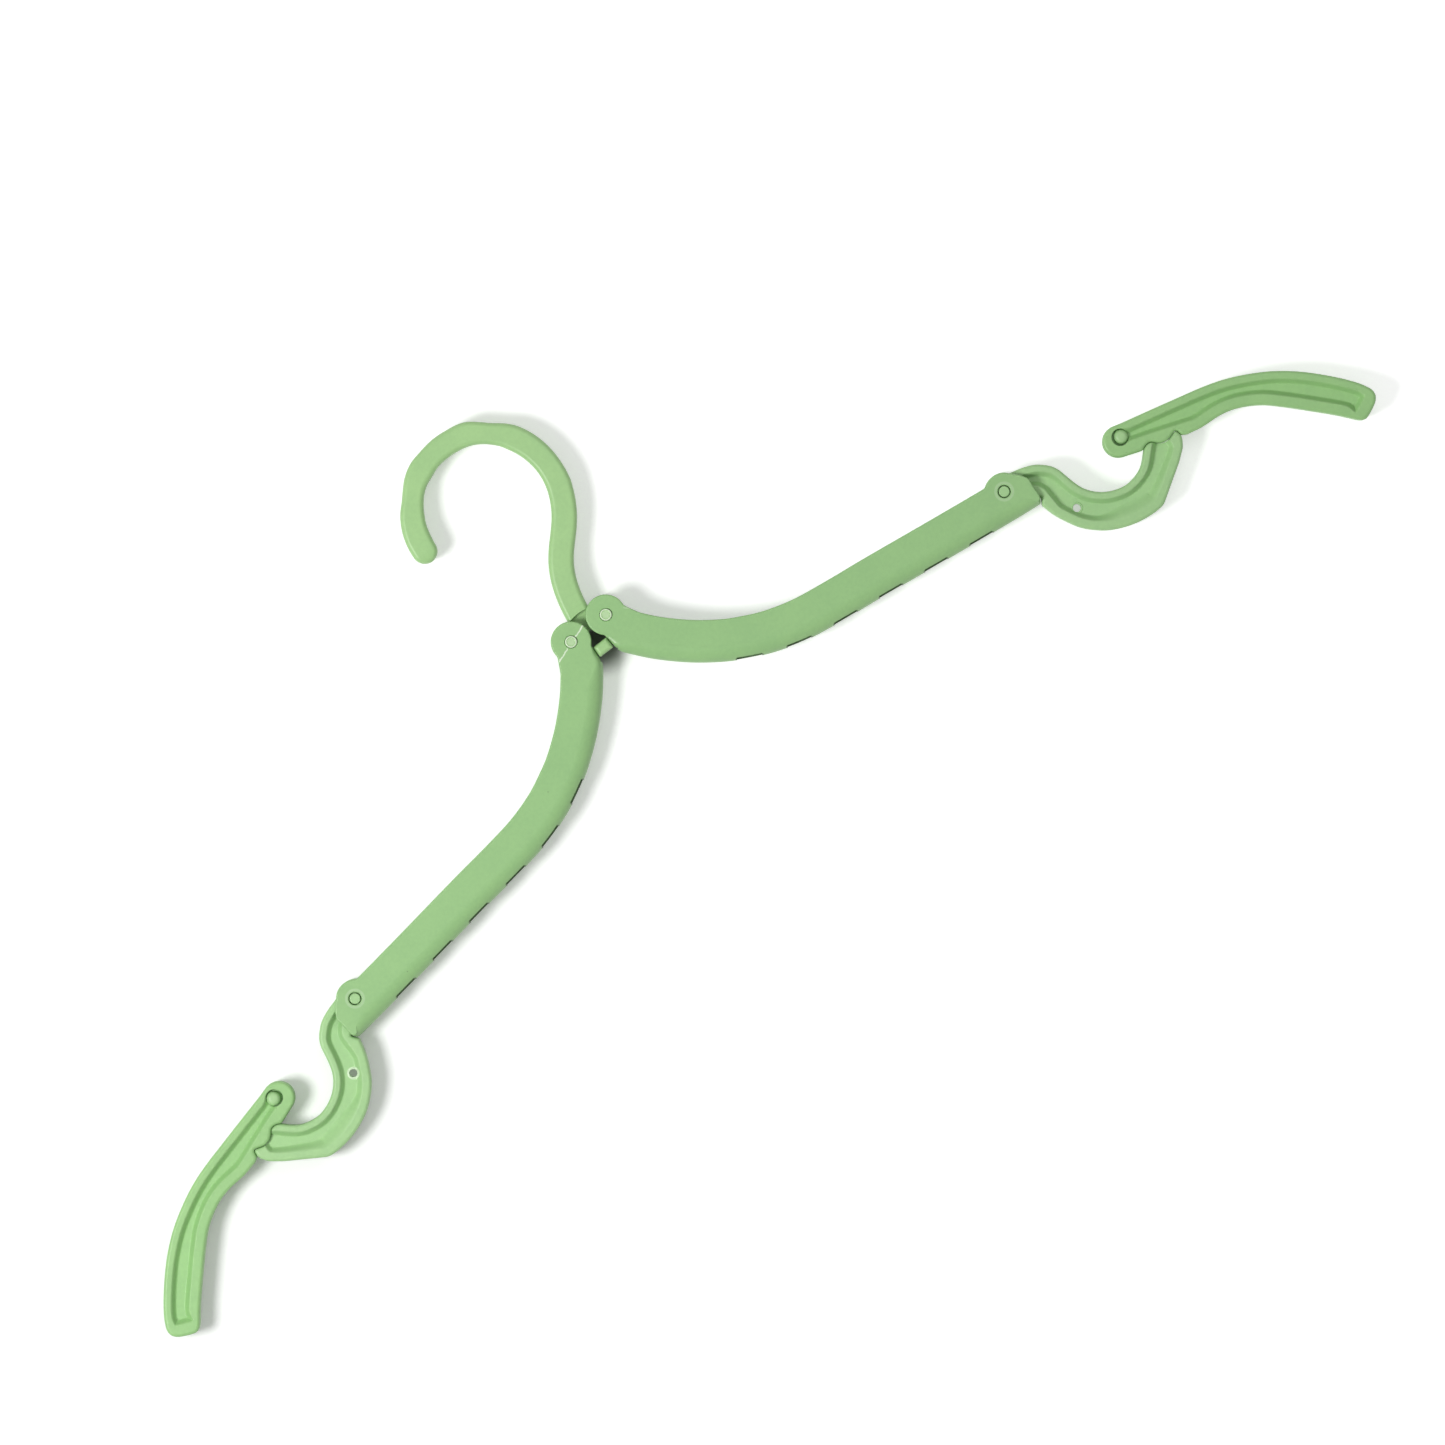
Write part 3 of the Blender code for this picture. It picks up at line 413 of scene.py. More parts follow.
def unit(vectors):
    """The same vectors, each of length 1."""
    return vectors / np.linalg.norm(vectors, axis=1)[:, None]


def side_normals(points):
    """The unit normal to the left of a closed line at each of its points."""
    ahead = unit(np.roll(points, -1, 0) - np.roll(points, 1, 0))
    return np.stack([-ahead[:, 1], ahead[:, 0]], 1)


def inset(points, distance):
    """A closed anticlockwise outline moved inwards by a distance, or by one for each point.

    Loops at corners close up."""
    distance = np.broadcast_to(np.asarray(distance, float), (len(points),))
    moved = points + side_normals(points) * distance[:, None]
    if np.abs(distance).max() < NOTHING:
        return moved
    gaps = np.sqrt(((moved[:, None] - points[None]) ** 2).sum(2)).min(1)
    good = gaps > np.abs(distance) * INSET_SHARE - HAIR
    if good.all() or good.sum() < 8:
        return moved
    count = len(points)
    kept = np.flatnonzero(good)
    index = np.arange(count)
    unrolled = np.concatenate((kept - count, kept, kept + count))
    values = np.concatenate((moved[kept],) * 3)
    return np.stack([np.interp(index, unrolled, values[:, axis]) for axis in (0, 1)], 1)


def moved_left(points, distance):
    """An open line moved to its left-hand side."""
    line = np.array(points)
    ahead = unit(np.gradient(line, axis=0))
    distance = np.broadcast_to(np.asarray(distance, float), (len(line),))
    return [tuple(p) for p in line + np.stack([-ahead[:, 1], ahead[:, 0]], 1) * distance[:, None]]


def quarter(steps):
    """Angles from nothing to a right angle."""
    return [pi / 2 * i / steps for i in range(steps + 1)]


def in_frame(point, side=1):
    """A drawn point's x and z in the frame, on the right (1) or mirrored to the left (-1)."""
    return (side * point[0] + DRAWING_ORIGIN.x, point[1] + DRAWING_ORIGIN.z)


def both_sides(points):
    """A drawn outline closed by its mirror image. Points on the middle line aren't doubled."""
    return list(points) + [(-x, z) for x, z in points[::-1] if x]


def linked(name, data):
    """A new object in the scene, at the origin."""
    made = bpy.data.objects.new(name, data)
    bpy.context.scene.collection.objects.link(made)
    return made


def mesh_object(name, bm):
    """A new object with the mesh built so far."""
    mesh = bpy.data.meshes.new(name)
    bm.to_mesh(mesh)
    bm.free()
    return linked(name, mesh)


def skinned(name, loops):
    """A closed solid through loops of the frame's points, its normals outwards."""
    bm = bmesh.new()
    rings = [[bm.verts.new(point) for point in loop] for loop in loops]
    for lower, upper in zip(rings, rings[1:]):
        for i in range(len(lower)):
            bm.faces.new((lower[i - 1], lower[i], upper[i], upper[i - 1]))
    bm.faces.new(rings[0])
    bm.faces.new(rings[-1])
    bmesh.ops.recalc_face_normals(bm, faces=bm.faces)
    return mesh_object(name, bm)


def slab(name, layers):
    """A solid through layers (y, outline), drawn in the drawing plane and placed in the frame."""
    loops = []
    for y, outline in layers:
        loops.append([(x, y, z) for x, z in map(in_frame, outline)])
    return skinned(name, loops)


def both_faces(layers):
    """Layers from the middle outwards, made into layers from the front to the back."""
    return [(-y, points) for y, points in layers[::-1]] + list(layers)


def plate(name, half, outline):
    """A flat solid with sharp edges."""
    return slab(name, both_faces([(half, outline)]))


def rounded_plate(name, outline, half, radius, steps=5):
    """A flat moulding with rounded outer edges."""
    layers = []
    for turn in quarter(steps):
        layers.append((half - radius + radius * sin(turn), inset(outline, radius * (1 - cos(turn)))))
    return slab(name, both_faces(layers))


def pockets(name, outline, depth, slope, steps=10):
    """The cuts that sink both faces of a lever or end hook. Their soft walls are as wide as slope."""
    floor = LEVER_HALF - depth
    layers = []
    for step in range(steps + 1):
        rise = step / steps
        height = rise * rise * (3 - 2 * rise)
        layers.append((floor + (LEVER_HALF - floor) * height, inset(outline, slope * (1 - rise))))
    layers.append((LEVER_HALF + OVERRUN, outline))
    cuts = []
    for face in (1, -1):
        cuts.append((slab(name, [(face * y, points) for y, points in layers]), "DIFFERENCE"))
    return cuts


def round_outline(centre, radius, steps=48):
    return np.array(arc(centre, radius, 0, 360 - 360 / steps, steps - 1))


def round_layers(centre, radius, half, rounding, steps=5):
    """Layers of a round shape up to its face, where it narrows by a rounding or widens by a negative one."""
    edge = abs(rounding)
    return [
        (half - edge + edge * sin(turn), round_outline(centre, radius - rounding * (1 - cos(turn))))
        for turn in quarter(steps)
    ]


def stud(name, centre, radius, half, rounding, steps=5):
    """A round stud right through, with rounded ends."""
    return slab(name, both_faces(round_layers(centre, radius, half, rounding, steps)))


def bore(name, centre, radius, half):
    """The cutter of a round hole right through, with rounded mouths."""
    layers = round_layers(centre, radius, half, -HOLE_RIM, 4)
    layers.append((half + OVERRUN, round_outline(centre, radius + HOLE_RIM)))
    return slab(name, both_faces(layers))


def carved(piece, steps):
    """Works the cutters and additions into a piece, one by one, and removes them."""
    for tool, operation in steps:
        modifier = piece.modifiers.new(tool.name, "BOOLEAN")
        modifier.object = tool
        modifier.operation = operation
        modifier.solver = "EXACT"
    as_plain_mesh(piece)
    for tool, _ in steps:
        bpy.data.objects.remove(tool)
    return piece


def as_plain_mesh(piece):
    """Makes the result of a piece's modifiers its own mesh."""
    bpy.context.view_layer.update()
    graph = bpy.context.evaluated_depsgraph_get()
    mesh = bpy.data.meshes.new_from_object(piece.evaluated_get(graph))
    piece.modifiers.clear()
    piece.data = mesh
    return piece


def tidied(piece):
    """Merges doubled points, turns the faces outwards and lets the large faces set the shading."""
    bm = bmesh.new()
    bm.from_mesh(piece.data)
    bmesh.ops.remove_doubles(bm, verts=bm.verts, dist=MERGE_DISTANCE)
    bmesh.ops.dissolve_degenerate(bm, edges=bm.edges, dist=SHORT_EDGE)
    bmesh.ops.recalc_face_normals(bm, faces=bm.faces)
    bm.to_mesh(piece.data)
    bm.free()
    piece.data.shade_smooth()
    piece.data.set_sharp_from_angle(angle=SHARP_ANGLE)
    weighted = piece.modifiers.new("flat_faces", "WEIGHTED_NORMAL")
    weighted.weight = 100
    weighted.keep_sharp = True
    return as_plain_mesh(piece)


def mirrored(piece, name):
    """A left-hand copy of a right-hand piece."""
    mesh = piece.data.copy()
    mesh.name = name
    flip = Matrix.Translation((2 * DRAWING_ORIGIN.x, 0, 0)) @ Matrix.Diagonal((-1, 1, 1, 1))
    mesh.transform(flip)
    mesh.flip_normals()
    return tidied(linked(name, mesh))


def finished(piece, material, node):
    """Gives a piece its plastic and its body, and hides the imported part of that name."""
    piece.data.materials.clear()
    piece.data.materials.append(material)
    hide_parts(node)
    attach(piece, node + "_body")


def joined(operation, swapped=False):
    """A method of Wire that joins it to another value through a Math node."""
    def join(wire, other):
        return wire.math(operation, other, wire) if swapped else wire.math(operation, wire, other)
    return join


class Wire:
    """A socket in a material, which Python's operators join to others through Math nodes."""

    def __init__(self, tree, socket):
        self.tree = tree
        self.socket = socket

    def math(self, operation, *values):
        ports = dict(zip(("Value", "Value_001"), values))
        return add_node(self.tree, "ShaderNodeMath", {"operation": operation}, "Value", **ports)

    __add__, __radd__ = joined("ADD"), joined("ADD", swapped=True)
    __sub__, __rsub__ = joined("SUBTRACT"), joined("SUBTRACT", swapped=True)
    __mul__, __rmul__ = joined("MULTIPLY"), joined("MULTIPLY", swapped=True)
    __pow__, least, most = joined("POWER"), joined("MINIMUM"), joined("MAXIMUM")

    def __abs__(self):
        return self.math("ABSOLUTE", self)

    def ramp(self, low, high):
        """Rises smoothly from 0 at low to 1 at high."""
        settings = {"interpolation_type": "SMOOTHSTEP"}
        return add_node(
            self.tree, "ShaderNodeMapRange", settings, "Result", Value=self, From_Min=low, From_Max=high)


def port_named(ports, name):
    """The socket with a given identifier or name, with underscores for spaces."""
    for port in ports:
        if port.enabled and name in (port.identifier.replace(" ", "_"), port.name.replace(" ", "_")):
            return port
    raise KeyError(name)


def add_node(tree, kind, settings=None, outs=None, **values):
    """Adds a node with its settings and its sockets' values or links. Gives wires for the outputs named."""
    node = tree.nodes.new(kind)
    for key, value in (settings or {}).items():
        setattr(node, key, value)
    for key, value in values.items():
        port = port_named(node.inputs, key)
        if isinstance(value, Wire):
            tree.links.new(value.socket, port)
        elif isinstance(value, (tuple, list)):
            port.default_value = tuple(value) + (1.0,) * (len(port.default_value) - len(value))
        else:
            port.default_value = value
    if outs is None:
        return Wire(tree, node.outputs[0]) if node.outputs else node
    if isinstance(outs, str):
        return Wire(tree, port_named(node.outputs, outs))
    return [Wire(tree, port_named(node.outputs, name)) for name in outs]


def new_material(name):
    material = bpy.data.materials.new(name)
    material.use_nodes = True
    material.node_tree.nodes.clear()
    return material, material.node_tree


def mix(tree, factor, first, second):
    """A colour between two others."""
    return add_node(tree, "ShaderNodeMix", {"data_type": "RGBA"}, "Result_Color",
                    Factor_Float=factor, A_Color=first, B_Color=second)


def scaled(colour, factor, tint=(1, 1, 1)):
    """A colour made darker or lighter, and tinted."""
    return tuple(min(c * factor * t, 1) for c, t in zip(colour, tint))


def length_of(across, up):
    """A wire for the length of a line, from its runs across and up."""
    return (across * across + up * up) ** 0.5


def segment_distance(x, z, start, end):
    """A wire for the distance, seen from the front, from the surface to a line between two points."""
    (x0, z0), (x1, z1) = start, end
    dx, dz = x1 - x0, z1 - z0
    along = ((x - x0) * dx + (z - z0) * dz) * (1 / (dx * dx + dz * dz))
    along = along.most(0).least(1)
    from_x = x - x0 - along * dx
    from_z = z - z0 - along * dz
    return length_of(from_x, from_z)


def moulded_plastic(name, colour, seed, creases_and_highlight=(), rings=(), face=ARM_HALF, slots=()):
    """Satin moulded plastic: clouded colour, fine grain and a few dark specks.

    Creases and rings are pale marks in the front face, which lies at a distance of face from the middle. Some
    are painted highlights: the rims of the hub stud heads and part of the line on the right heel. Shade is
    painted round the lines of the slots."""
    material, tree = new_material(name)
    place = add_node(tree, "ShaderNodeTexCoord", outs="Object")
    moved = add_node(
        tree, "ShaderNodeMapping", Vector=place, Location=(seed * 0.37, seed * 0.11, seed * 0.23))
    x, y, z = add_node(tree, "ShaderNodeSeparateXYZ", outs=("X", "Y", "Z"), Vector=place)

    def noise(scale, detail, roughness):
        return add_node(
            tree, "ShaderNodeTexNoise", Vector=moved, Scale=scale, Detail=detail, Roughness=roughness)

    clouds = noise(scale=110, detail=3, roughness=0.55)
    mottle = noise(scale=900, detail=2, roughness=0.6)
    grain = noise(scale=4200, detail=2, roughness=0.6)
    darker = scaled(colour, factor=0.965, tint=(0.99, 1.0, 1.0))
    lighter = scaled(colour, factor=1.035, tint=(1.01, 1.0, 0.99))
    shade = ((clouds - 0.5) * 0.5 + (mottle - 0.5) * 0.5 + 0.5).ramp(low=0.32, high=0.68)
    tint = mix(tree, shade, darker, lighter)

    reach, cell = add_node(
        tree, "ShaderNodeTexVoronoi", outs=("Distance", "Color"), Vector=moved, Scale=150.0)
    chance = add_node(tree, "ShaderNodeSeparateColor", outs="Red", Color=cell)
    speck = (1 - reach.ramp(low=0.016, high=0.042)) * chance.ramp(low=0.62, high=0.64)
    tint = mix(tree, speck * 0.55, tint, scaled(colour, factor=0.45, tint=(1.0, 0.85, 1.0)))

    wander = (mottle - 0.5) * MARK_WANDER
    marks = []
    for start, end, width, strength in creases_and_highlight:
        marks.append((segment_distance(x + wander, z - wander, start, end), width, strength))
    for (ring_x, ring_z), radius, width, strength in rings:
        marks.append((abs(length_of(x - ring_x, z - ring_z) - radius), width, strength))
    pale = None
    for distance, width, strength in marks:
        mark = (1 - distance.ramp(width * MARK_CORE, width)) * strength
        pale = mark if pale is None else pale.most(mark)
    if pale is not None:
        begins, ends = [face - depth for depth in MARK_DEPTHS]
        pale = pale * (0.55 + 0.45 * mottle) * (-1 * y).ramp(begins, ends)
        tint = mix(tree, pale, tint, PALE_COLOUR)

    # Painted shade: the plastic is darkened round the lines of the windows, where the walls seen through them
    # lie in shade
    if slots:
        near_slot = segment_distance(x, z, *slots[0])
        for start, end in slots[1:]:
            near_slot = near_slot.least(segment_distance(x, z, start, end))
        within = y.ramp(*SLOT_FRONT) * (1 - y.ramp(*SLOT_BACK)) * (1 - near_slot.ramp(*SLOT_SIDE))
        tint = mix(tree, within, tint, scaled(colour, SLOT_PAINTED_SHADE))

    height = clouds * 0.5 + mottle * 0.28 + grain * 0.22
    bump = add_node(tree, "ShaderNodeBump", Height=height, Strength=0.22, Distance=0.00025)
    sheen = 0.33 + 0.08 * mottle + 0.05 * clouds
    plastic = add_node(
        tree, "ShaderNodeBsdfPrincipled", Base_Color=tint, Roughness=sheen, Normal=bump, IOR=1.49,
        Specular_IOR_Level=0.42)
    add_node(tree, "ShaderNodeOutputMaterial", Surface=plastic)
    return material


def seen_directly(tree):
    """1 for what the camera sees, also in a reflection or through glass, and 0 for what lights the hanger."""
    names = ("Is_Camera_Ray", "Is_Glossy_Ray", "Is_Transmission_Ray")
    camera, glossy, through = add_node(tree, "ShaderNodeLightPath", outs=names)
    return camera.most(glossy).most(through)


def table_top(stage, centre, away):
    """White paper that is lifted to pure white for the camera, keeps shadows, and can't be seen from behind.

    Round the hub a shadow is painted: the paper is darker there and isn't lifted."""
    material, tree = new_material("table_white")
    place = add_node(tree, "ShaderNodeTexCoord", outs="Object")
    x, z = add_node(tree, "ShaderNodeSeparateXYZ", outs=("X", "Z"), Vector=place)
    along = (x - centre.x) * away.x + (z - centre.z) * away.z
    half_way = stage.picture_width / 2
    glow = stage.near_glow + along.ramp(-half_way, half_way) * (stage.far_glow - stage.near_glow)
    # Painted shadow round the hub: within this reach the paper turns darker and isn't lifted to white
    from_hub_x = x - DRAWING_ORIGIN.x
    from_hub_z = z - DRAWING_ORIGIN.z + stage.painted_hub_shade / 2
    clear_of_painted_shade = length_of(from_hub_x, from_hub_z).ramp(stage.painted_hub_shade / 3, stage.painted_hub_shade)
    glow = glow * clear_of_painted_shade
    bright = add_node(tree, "ShaderNodeBsdfDiffuse", Color=TABLE_WHITE)
    # Painted shadow: the darker paper round the hub
    painted_shade_paper = add_node(tree, "ShaderNodeBsdfDiffuse", Color=HUB_PAINTED_SHADE)
    paper = add_node(tree, "ShaderNodeMixShader", Fac=clear_of_painted_shade, Shader=painted_shade_paper, Shader_001=bright)
    dark = add_node(tree, "ShaderNodeEmission", Color=(0, 0, 0), Strength=1.0)
    white = add_node(tree, "ShaderNodeEmission", Color=(1, 1, 1), Strength=1.0)
    lifted = seen_directly(tree) * glow
    lift = add_node(tree, "ShaderNodeMixShader", Fac=lifted, Shader=dark, Shader_001=white)
    lit = add_node(tree, "ShaderNodeAddShader", Shader=paper, Shader_001=lift)
    clear = add_node(tree, "ShaderNodeBsdfTransparent")
    behind = add_node(tree, "ShaderNodeNewGeometry", outs="Backfacing")
    both = add_node(tree, "ShaderNodeMixShader", Fac=behind, Shader=lit, Shader_001=clear)
    add_node(tree, "ShaderNodeOutputMaterial", Surface=both)
    return material


def white_room(strength):
    """A world that lights the hanger softly and shows as pure white."""
    world = bpy.data.worlds.new("white_room")
    world.use_nodes = True
    tree = world.node_tree
    tree.nodes.clear()
    soft = add_node(tree, "ShaderNodeBackground", Color=(1, 1, 1), Strength=strength)
    white = add_node(tree, "ShaderNodeBackground", Color=(1, 1, 1), Strength=1.0)
    room = add_node(tree, "ShaderNodeMixShader", Fac=seen_directly(tree), Shader=soft, Shader_001=white)
    add_node(tree, "ShaderNodeOutputWorld", Surface=room)
    return world


def shank_line(steps):
    """Middle line of the shank, from the hub up to the loop."""
    angle, inner_share, width_share = LOOP_SHARES[0]
    start = radians(angle)
    rise = radians(SHANK_FOOT_ANGLE)
    foot = Vector(SHANK_FOOT)
    head = Vector(polar(LOOP_CENTRE, LOOP_RADIUS * inner_share + BAR_WIDTH * width_share / 2, start))
    foot_pull = foot + SHANK_LOWER_PULL * Vector((cos(rise), sin(rise)))
    head_pull = head - SHANK_UPPER_PULL * Vector((-sin(start), cos(start)))
    line = []
    for i in range(steps):
        t = i / steps
        u = 1 - t
        line.append(tuple(u**3 * foot + 3 * u * u * t * foot_pull + 3 * u * t * t * head_pull + t**3 * head))
    return line


def hook_rings():
    """Places, headings, half widths and half thicknesses along the hook's bar."""
    line = shank_line(48)
    halves = [BAR_WIDTH / 2] * len(line)
    for angle, inner_share, width_share in smooth(LOOP_SHARES, 6):
        halves.append(BAR_WIDTH * width_share / 2)
        line.append(polar(LOOP_CENTRE, LOOP_RADIUS * inner_share + halves[-1], radians(angle)))
    ahead = unit(np.gradient(np.array(line), axis=0))
    rings = [(x, z, dx, dz, half, BAR_HALF) for (x, z), (dx, dz), half in zip(line, ahead, halves)]
    x, z, dx, dz, half, thick = rings[-1]
    for turn in quarter(9)[1:-1] + [TIP_END_ANGLE]:
        ahead_by = half * sin(turn)
        thinner = thick - TIP_THINNING * (1 - cos(turn))
        rings.append((x + dx * ahead_by, z + dz * ahead_by, dx, dz, half * cos(turn), thinner))
    return rings


def bar_mesh(name, rings, edge_round, corner_steps=6):
    """The bar: a rounded section carried along its rings."""
    loops = []
    for x, z, dx, dz, half, thick in rings:
        edge = min(edge_round, half * 0.9)
        loop = []
        for corner, (side, face) in enumerate(((1, 1), (-1, 1), (-1, -1), (1, -1))):
            for step in range(corner_steps + 1):
                turn = pi / 2 * (corner + step / corner_steps)
                across = side * (half - edge) + edge * cos(turn)
                through = face * (thick - edge) + edge * sin(turn)
                place = in_frame((x + dz * across, z - dx * across))
                loop.append((place[0], through, place[1]))
        loops.append(loop)
    return skinned(name, loops)


def arm_bottom():
    """Bottom edge of the arm, from the top of its heel by the stop bar to its nose."""
    heel = [(HEEL_X, -drop) for drop in HEEL_DROPS]
    span = END_PIVOT[0] - HUB_PIVOT[0]
    drop = HUB_PIVOT[1] - END_PIVOT[1]
    edge = placed(HUB_PIVOT, ARM_BOTTOM, span, drop)
    return smooth(heel, 3)[:-1] + smooth(heel[-1:] + edge + placed(END_PIVOT, NOSE[-1:], NOSE_REACH), 6)


def window_tree():
    """Geometry Nodes that set box cutters along a curve, with their places, sizes and material as inputs."""
    tree = bpy.data.node_groups.new("window_cutters", "GeometryNodeTree")
    kinds = {"Geometry": "NodeSocketGeometry"}
    for name in ("Start", "Pitch", "Length", "Width", "Depth"):
        kinds[name] = "NodeSocketFloat"
    kinds["Count"] = "NodeSocketInt"
    kinds["Material"] = "NodeSocketMaterial"
    for name, kind in kinds.items():
        tree.interface.new_socket(name, in_out="INPUT", socket_type=kind)
    tree.interface.new_socket("Geometry", in_out="OUTPUT", socket_type="NodeSocketGeometry")
    inputs = add_node(tree, "NodeGroupInput", outs=tuple(kinds))
    line, start, pitch, length, width, depth, count, material = inputs
    curve = add_node(tree, "GeometryNodeMeshToCurve", Mesh=line)
    along = start + length * 0.5 + add_node(tree, "GeometryNodeInputIndex") * pitch
    spots = add_node(tree, "GeometryNodePoints", Count=count)
    place, heading = add_node(tree, "GeometryNodeSampleCurve", {"mode": "LENGTH"}, ("Position", "Tangent"),
                              Curves=curve, Length=along)
    put = add_node(tree, "GeometryNodeSetPosition", Geometry=spots, Position=place)
    turned = add_node(tree, "FunctionNodeAlignRotationToVector", {"axis": "X"}, Vector=heading)
    size = add_node(tree, "ShaderNodeCombineXYZ", X=length, Y=width, Z=depth)
    box = add_node(tree, "GeometryNodeMeshCube", Size=size)
    spread = add_node(tree, "GeometryNodeInstanceOnPoints", Points=put, Instance=box, Rotation=turned)
    real = add_node(tree, "GeometryNodeRealizeInstances", Geometry=spread)
    dressed = add_node(tree, "GeometryNodeSetMaterial", Geometry=real, Material=material)
    add_node(tree, "NodeGroupOutput", Geometry=dressed)
    return tree


def window_cutters(name, line, sizes, material):
    """The cutters of an arm's windows, spread along its bottom edge."""
    bm = bmesh.new()
    spots = [bm.verts.new((x, -sizes.window_shift, z)) for x, z in map(in_frame, line)]
    for one, two in zip(spots, spots[1:]):
        bm.edges.new((one, two))
    made = mesh_object(name, bm)
    modifier = made.modifiers.new("windows", "NODES")
    modifier.node_group = window_tree()
    values = {
        "Start": sizes.window_start, "Pitch": sizes.window_pitch, "Length": sizes.window_length,
        "Width": sizes.window_width, "Depth": 4 * ARM_FLOOR, "Count": sizes.window_count,
        "Material": material,
    }
    for item in modifier.node_group.interface.items_tree:
        if item.in_out == "INPUT" and item.name in values:
            modifier[item.identifier] = values[item.name]
    return as_plain_mesh(made)


def window_shade_lines(line, sizes):
    """The windows' lines along the bottom edges of both arms, round which shade is painted, as pairs of
    points of the frame.
    """
    line = resampled(line, FINE_SPACING, closed=False)
    pairs = []
    for index in range(sizes.window_count):
        start = sizes.window_start + index * sizes.window_pitch
        ends = (start + SLOT_MARGIN, start + sizes.window_length - SLOT_MARGIN)
        for side in (1, -1):
            pairs.append([in_frame(line[int(run / FINE_SPACING)], side) for run in ends])
    return pairs


def head_layers(centre, radius):
    """The layers of a low domed stud head that lies on an arm's face, dished in its middle."""
    layers = [
        (ARM_HALF + HEAD_LIFT, round_outline(centre, radius - HEAD_UNDERCUT)),
        (ARM_HALF + 2 * HEAD_LIFT, round_outline(centre, radius)),
    ]
    layers += round_layers(centre, radius, STUD_HALF, STUD_ROUND)
    for share in (0.3, 0.7, 1.0):
        dish = STUD_ROUND * (1 + share)
        layers.append((STUD_HALF - 0.5 * STUD_ROUND * share * share, round_outline(centre, radius - dish)))
    return layers


class HANGER_OT_hook(bpy.types.Operator):
    """Makes the rod hook: its bent bar, hub web, bosses, studs and stop bar."""
    bl_idname = "hanger.hook"
    bl_label = "Hook"

    def execute(self, context):
        sizes = context.scene.hanger_sizes
        hook = bar_mesh("rod_hook", hook_rings(), sizes.bar_round)
        pocket_centre = (0, HUB_POCKET_TOP - HUB_POCKET_RADIUS)
        pocket_line = round_outline(pocket_centre, HUB_POCKET_RADIUS, steps=160)
        steps = [(plate("hub_pocket", BAR_HALF + OVERRUN, pocket_line), "DIFFERENCE")]
        inner_boss = polar(HUB_PIVOT, INNER_BOSS_RADIUS, INNER_BOSS_ANGLE)
        gap_line = both_sides(GAP_FOOT + (inner_boss, GAP_TOP))
        web = plate("hub_web", WEB_HALF, both_sides(WEB_OUTLINE))
        web = carved(web, [(plate("hub_gap", BAR_HALF, gap_line), "DIFFERENCE")])
        steps.append((web, "UNION"))
        low, high = STOP_BAR_SPAN
        reach = STOP_BAR_REACH
        corners = [(-reach, low), (reach, low), (reach, high), (-reach, high)]
        bar_line = outline_of(corners, spacing=STOP_BAR_SPACING)
        stop_bar = rounded_plate("stop_bar", bar_line, STOP_BAR_HALF, STOP_BAR_ROUND, steps=8)
        steps.append((stop_bar, "UNION"))
        for side, label in ((1, "right"), (-1, "left")):
            centre = (side * HUB_PIVOT[0], HUB_PIVOT[1])
            boss = stud(label + "_boss", centre, BOSS_RADIUS, BOSS_HALF, STUD_ROUND, steps=3)
            hub_stud = stud(label + "_hub_stud", centre, sizes.hub_stud, HUB_STUD_HALF, HUB_STUD_ROUND)
            steps += [(boss, "UNION"), (hub_stud, "UNION")]
            for face in (1, -1):
                head = [(face * y, outline) for y, outline in head_layers(centre, sizes.stud_head)]
                steps.append((slab(label + "_stud_head", head), "UNION"))
        tidied(carved(hook, steps))
        # Painted highlight on the rims of the hub stud heads, and their paler discs
        rings = [(in_frame(HUB_PIVOT, side), *ring) for side in (1, -1) for ring in HEAD_HIGHLIGHT_AND_DISC]
        material = moulded_plastic("hook_plastic", context.scene.hanger_colours.hook, seed=1, rings=rings)
        finished(hook, material, "hook")
        return {"FINISHED"}


def run_along(outline, line):
    """For each point of an outline, the share of a line's run beside it, and whether it lies on the line."""
    line = resampled(line, SPACING, closed=False)
    gaps = np.sqrt(((outline[:, None] - line[None]) ** 2).sum(2))
    share = gaps.argmin(1) / (len(line) - 1)
    on_line = (gaps.min(1) < 1.5 * SPACING).astype(float)
    for _ in range(4):
        on_line = (np.roll(on_line, 1) + 2 * on_line + np.roll(on_line, -1)) / 4
    return share, on_line


def arm_outline(bottom):
    """The outline of an arm, from its bottom edge round its nose, outer ear, top edge and inner ear."""
    top = []
    for x, z in moved_left(bottom, ARM_DEPTH)[HEEL_POINTS:]:
        clear_of_hub = hypot(x - HUB_PIVOT[0], z - HUB_PIVOT[1]) > EAR_RADIUS + ARM_FLOOR
        before_end = hypot(x - END_PIVOT[0], z - END_PIVOT[1]) > END_EAR_RADIUS and x < END_PIVOT[0]
        if clear_of_hub and before_end:
            top.append((x, z))
    nose = placed(END_PIVOT, NOSE[:-1], NOSE_REACH)
    end_ear = arc(END_PIVOT, END_EAR_RADIUS, *END_EAR_ARC)
    hub_ear = arc(HUB_PIVOT, EAR_RADIUS, *HUB_EAR_ARC)
    return outline_of(bottom + nose[::-1] + end_ear + top[::-1] + hub_ear)


def arm_layers(bottom, sizes):
    """Layers of an arm with a wide rounding along its bottom edge and a small one along its other edges."""
    outline = arm_outline(bottom)
    run, on_bottom = run_along(outline, bottom)
    growth = np.interp(run, *zip(*FILLET_GROWTH)) * on_bottom
    small = sizes.arm_round
    layers = []
    for turn in quarter(10):
        rise = sizes.fillet_rise * (1 - cos(turn))
        depth = sizes.fillet_depth * (1 - sin(turn))
        upper = 0.0
        if depth < small:
            upper = small - sqrt(max(small * small - (small - depth) ** 2, 0))
        layers.append((ARM_HALF - depth, inset(outline, rise * growth + upper * (1 - growth))))
    return both_faces(layers)


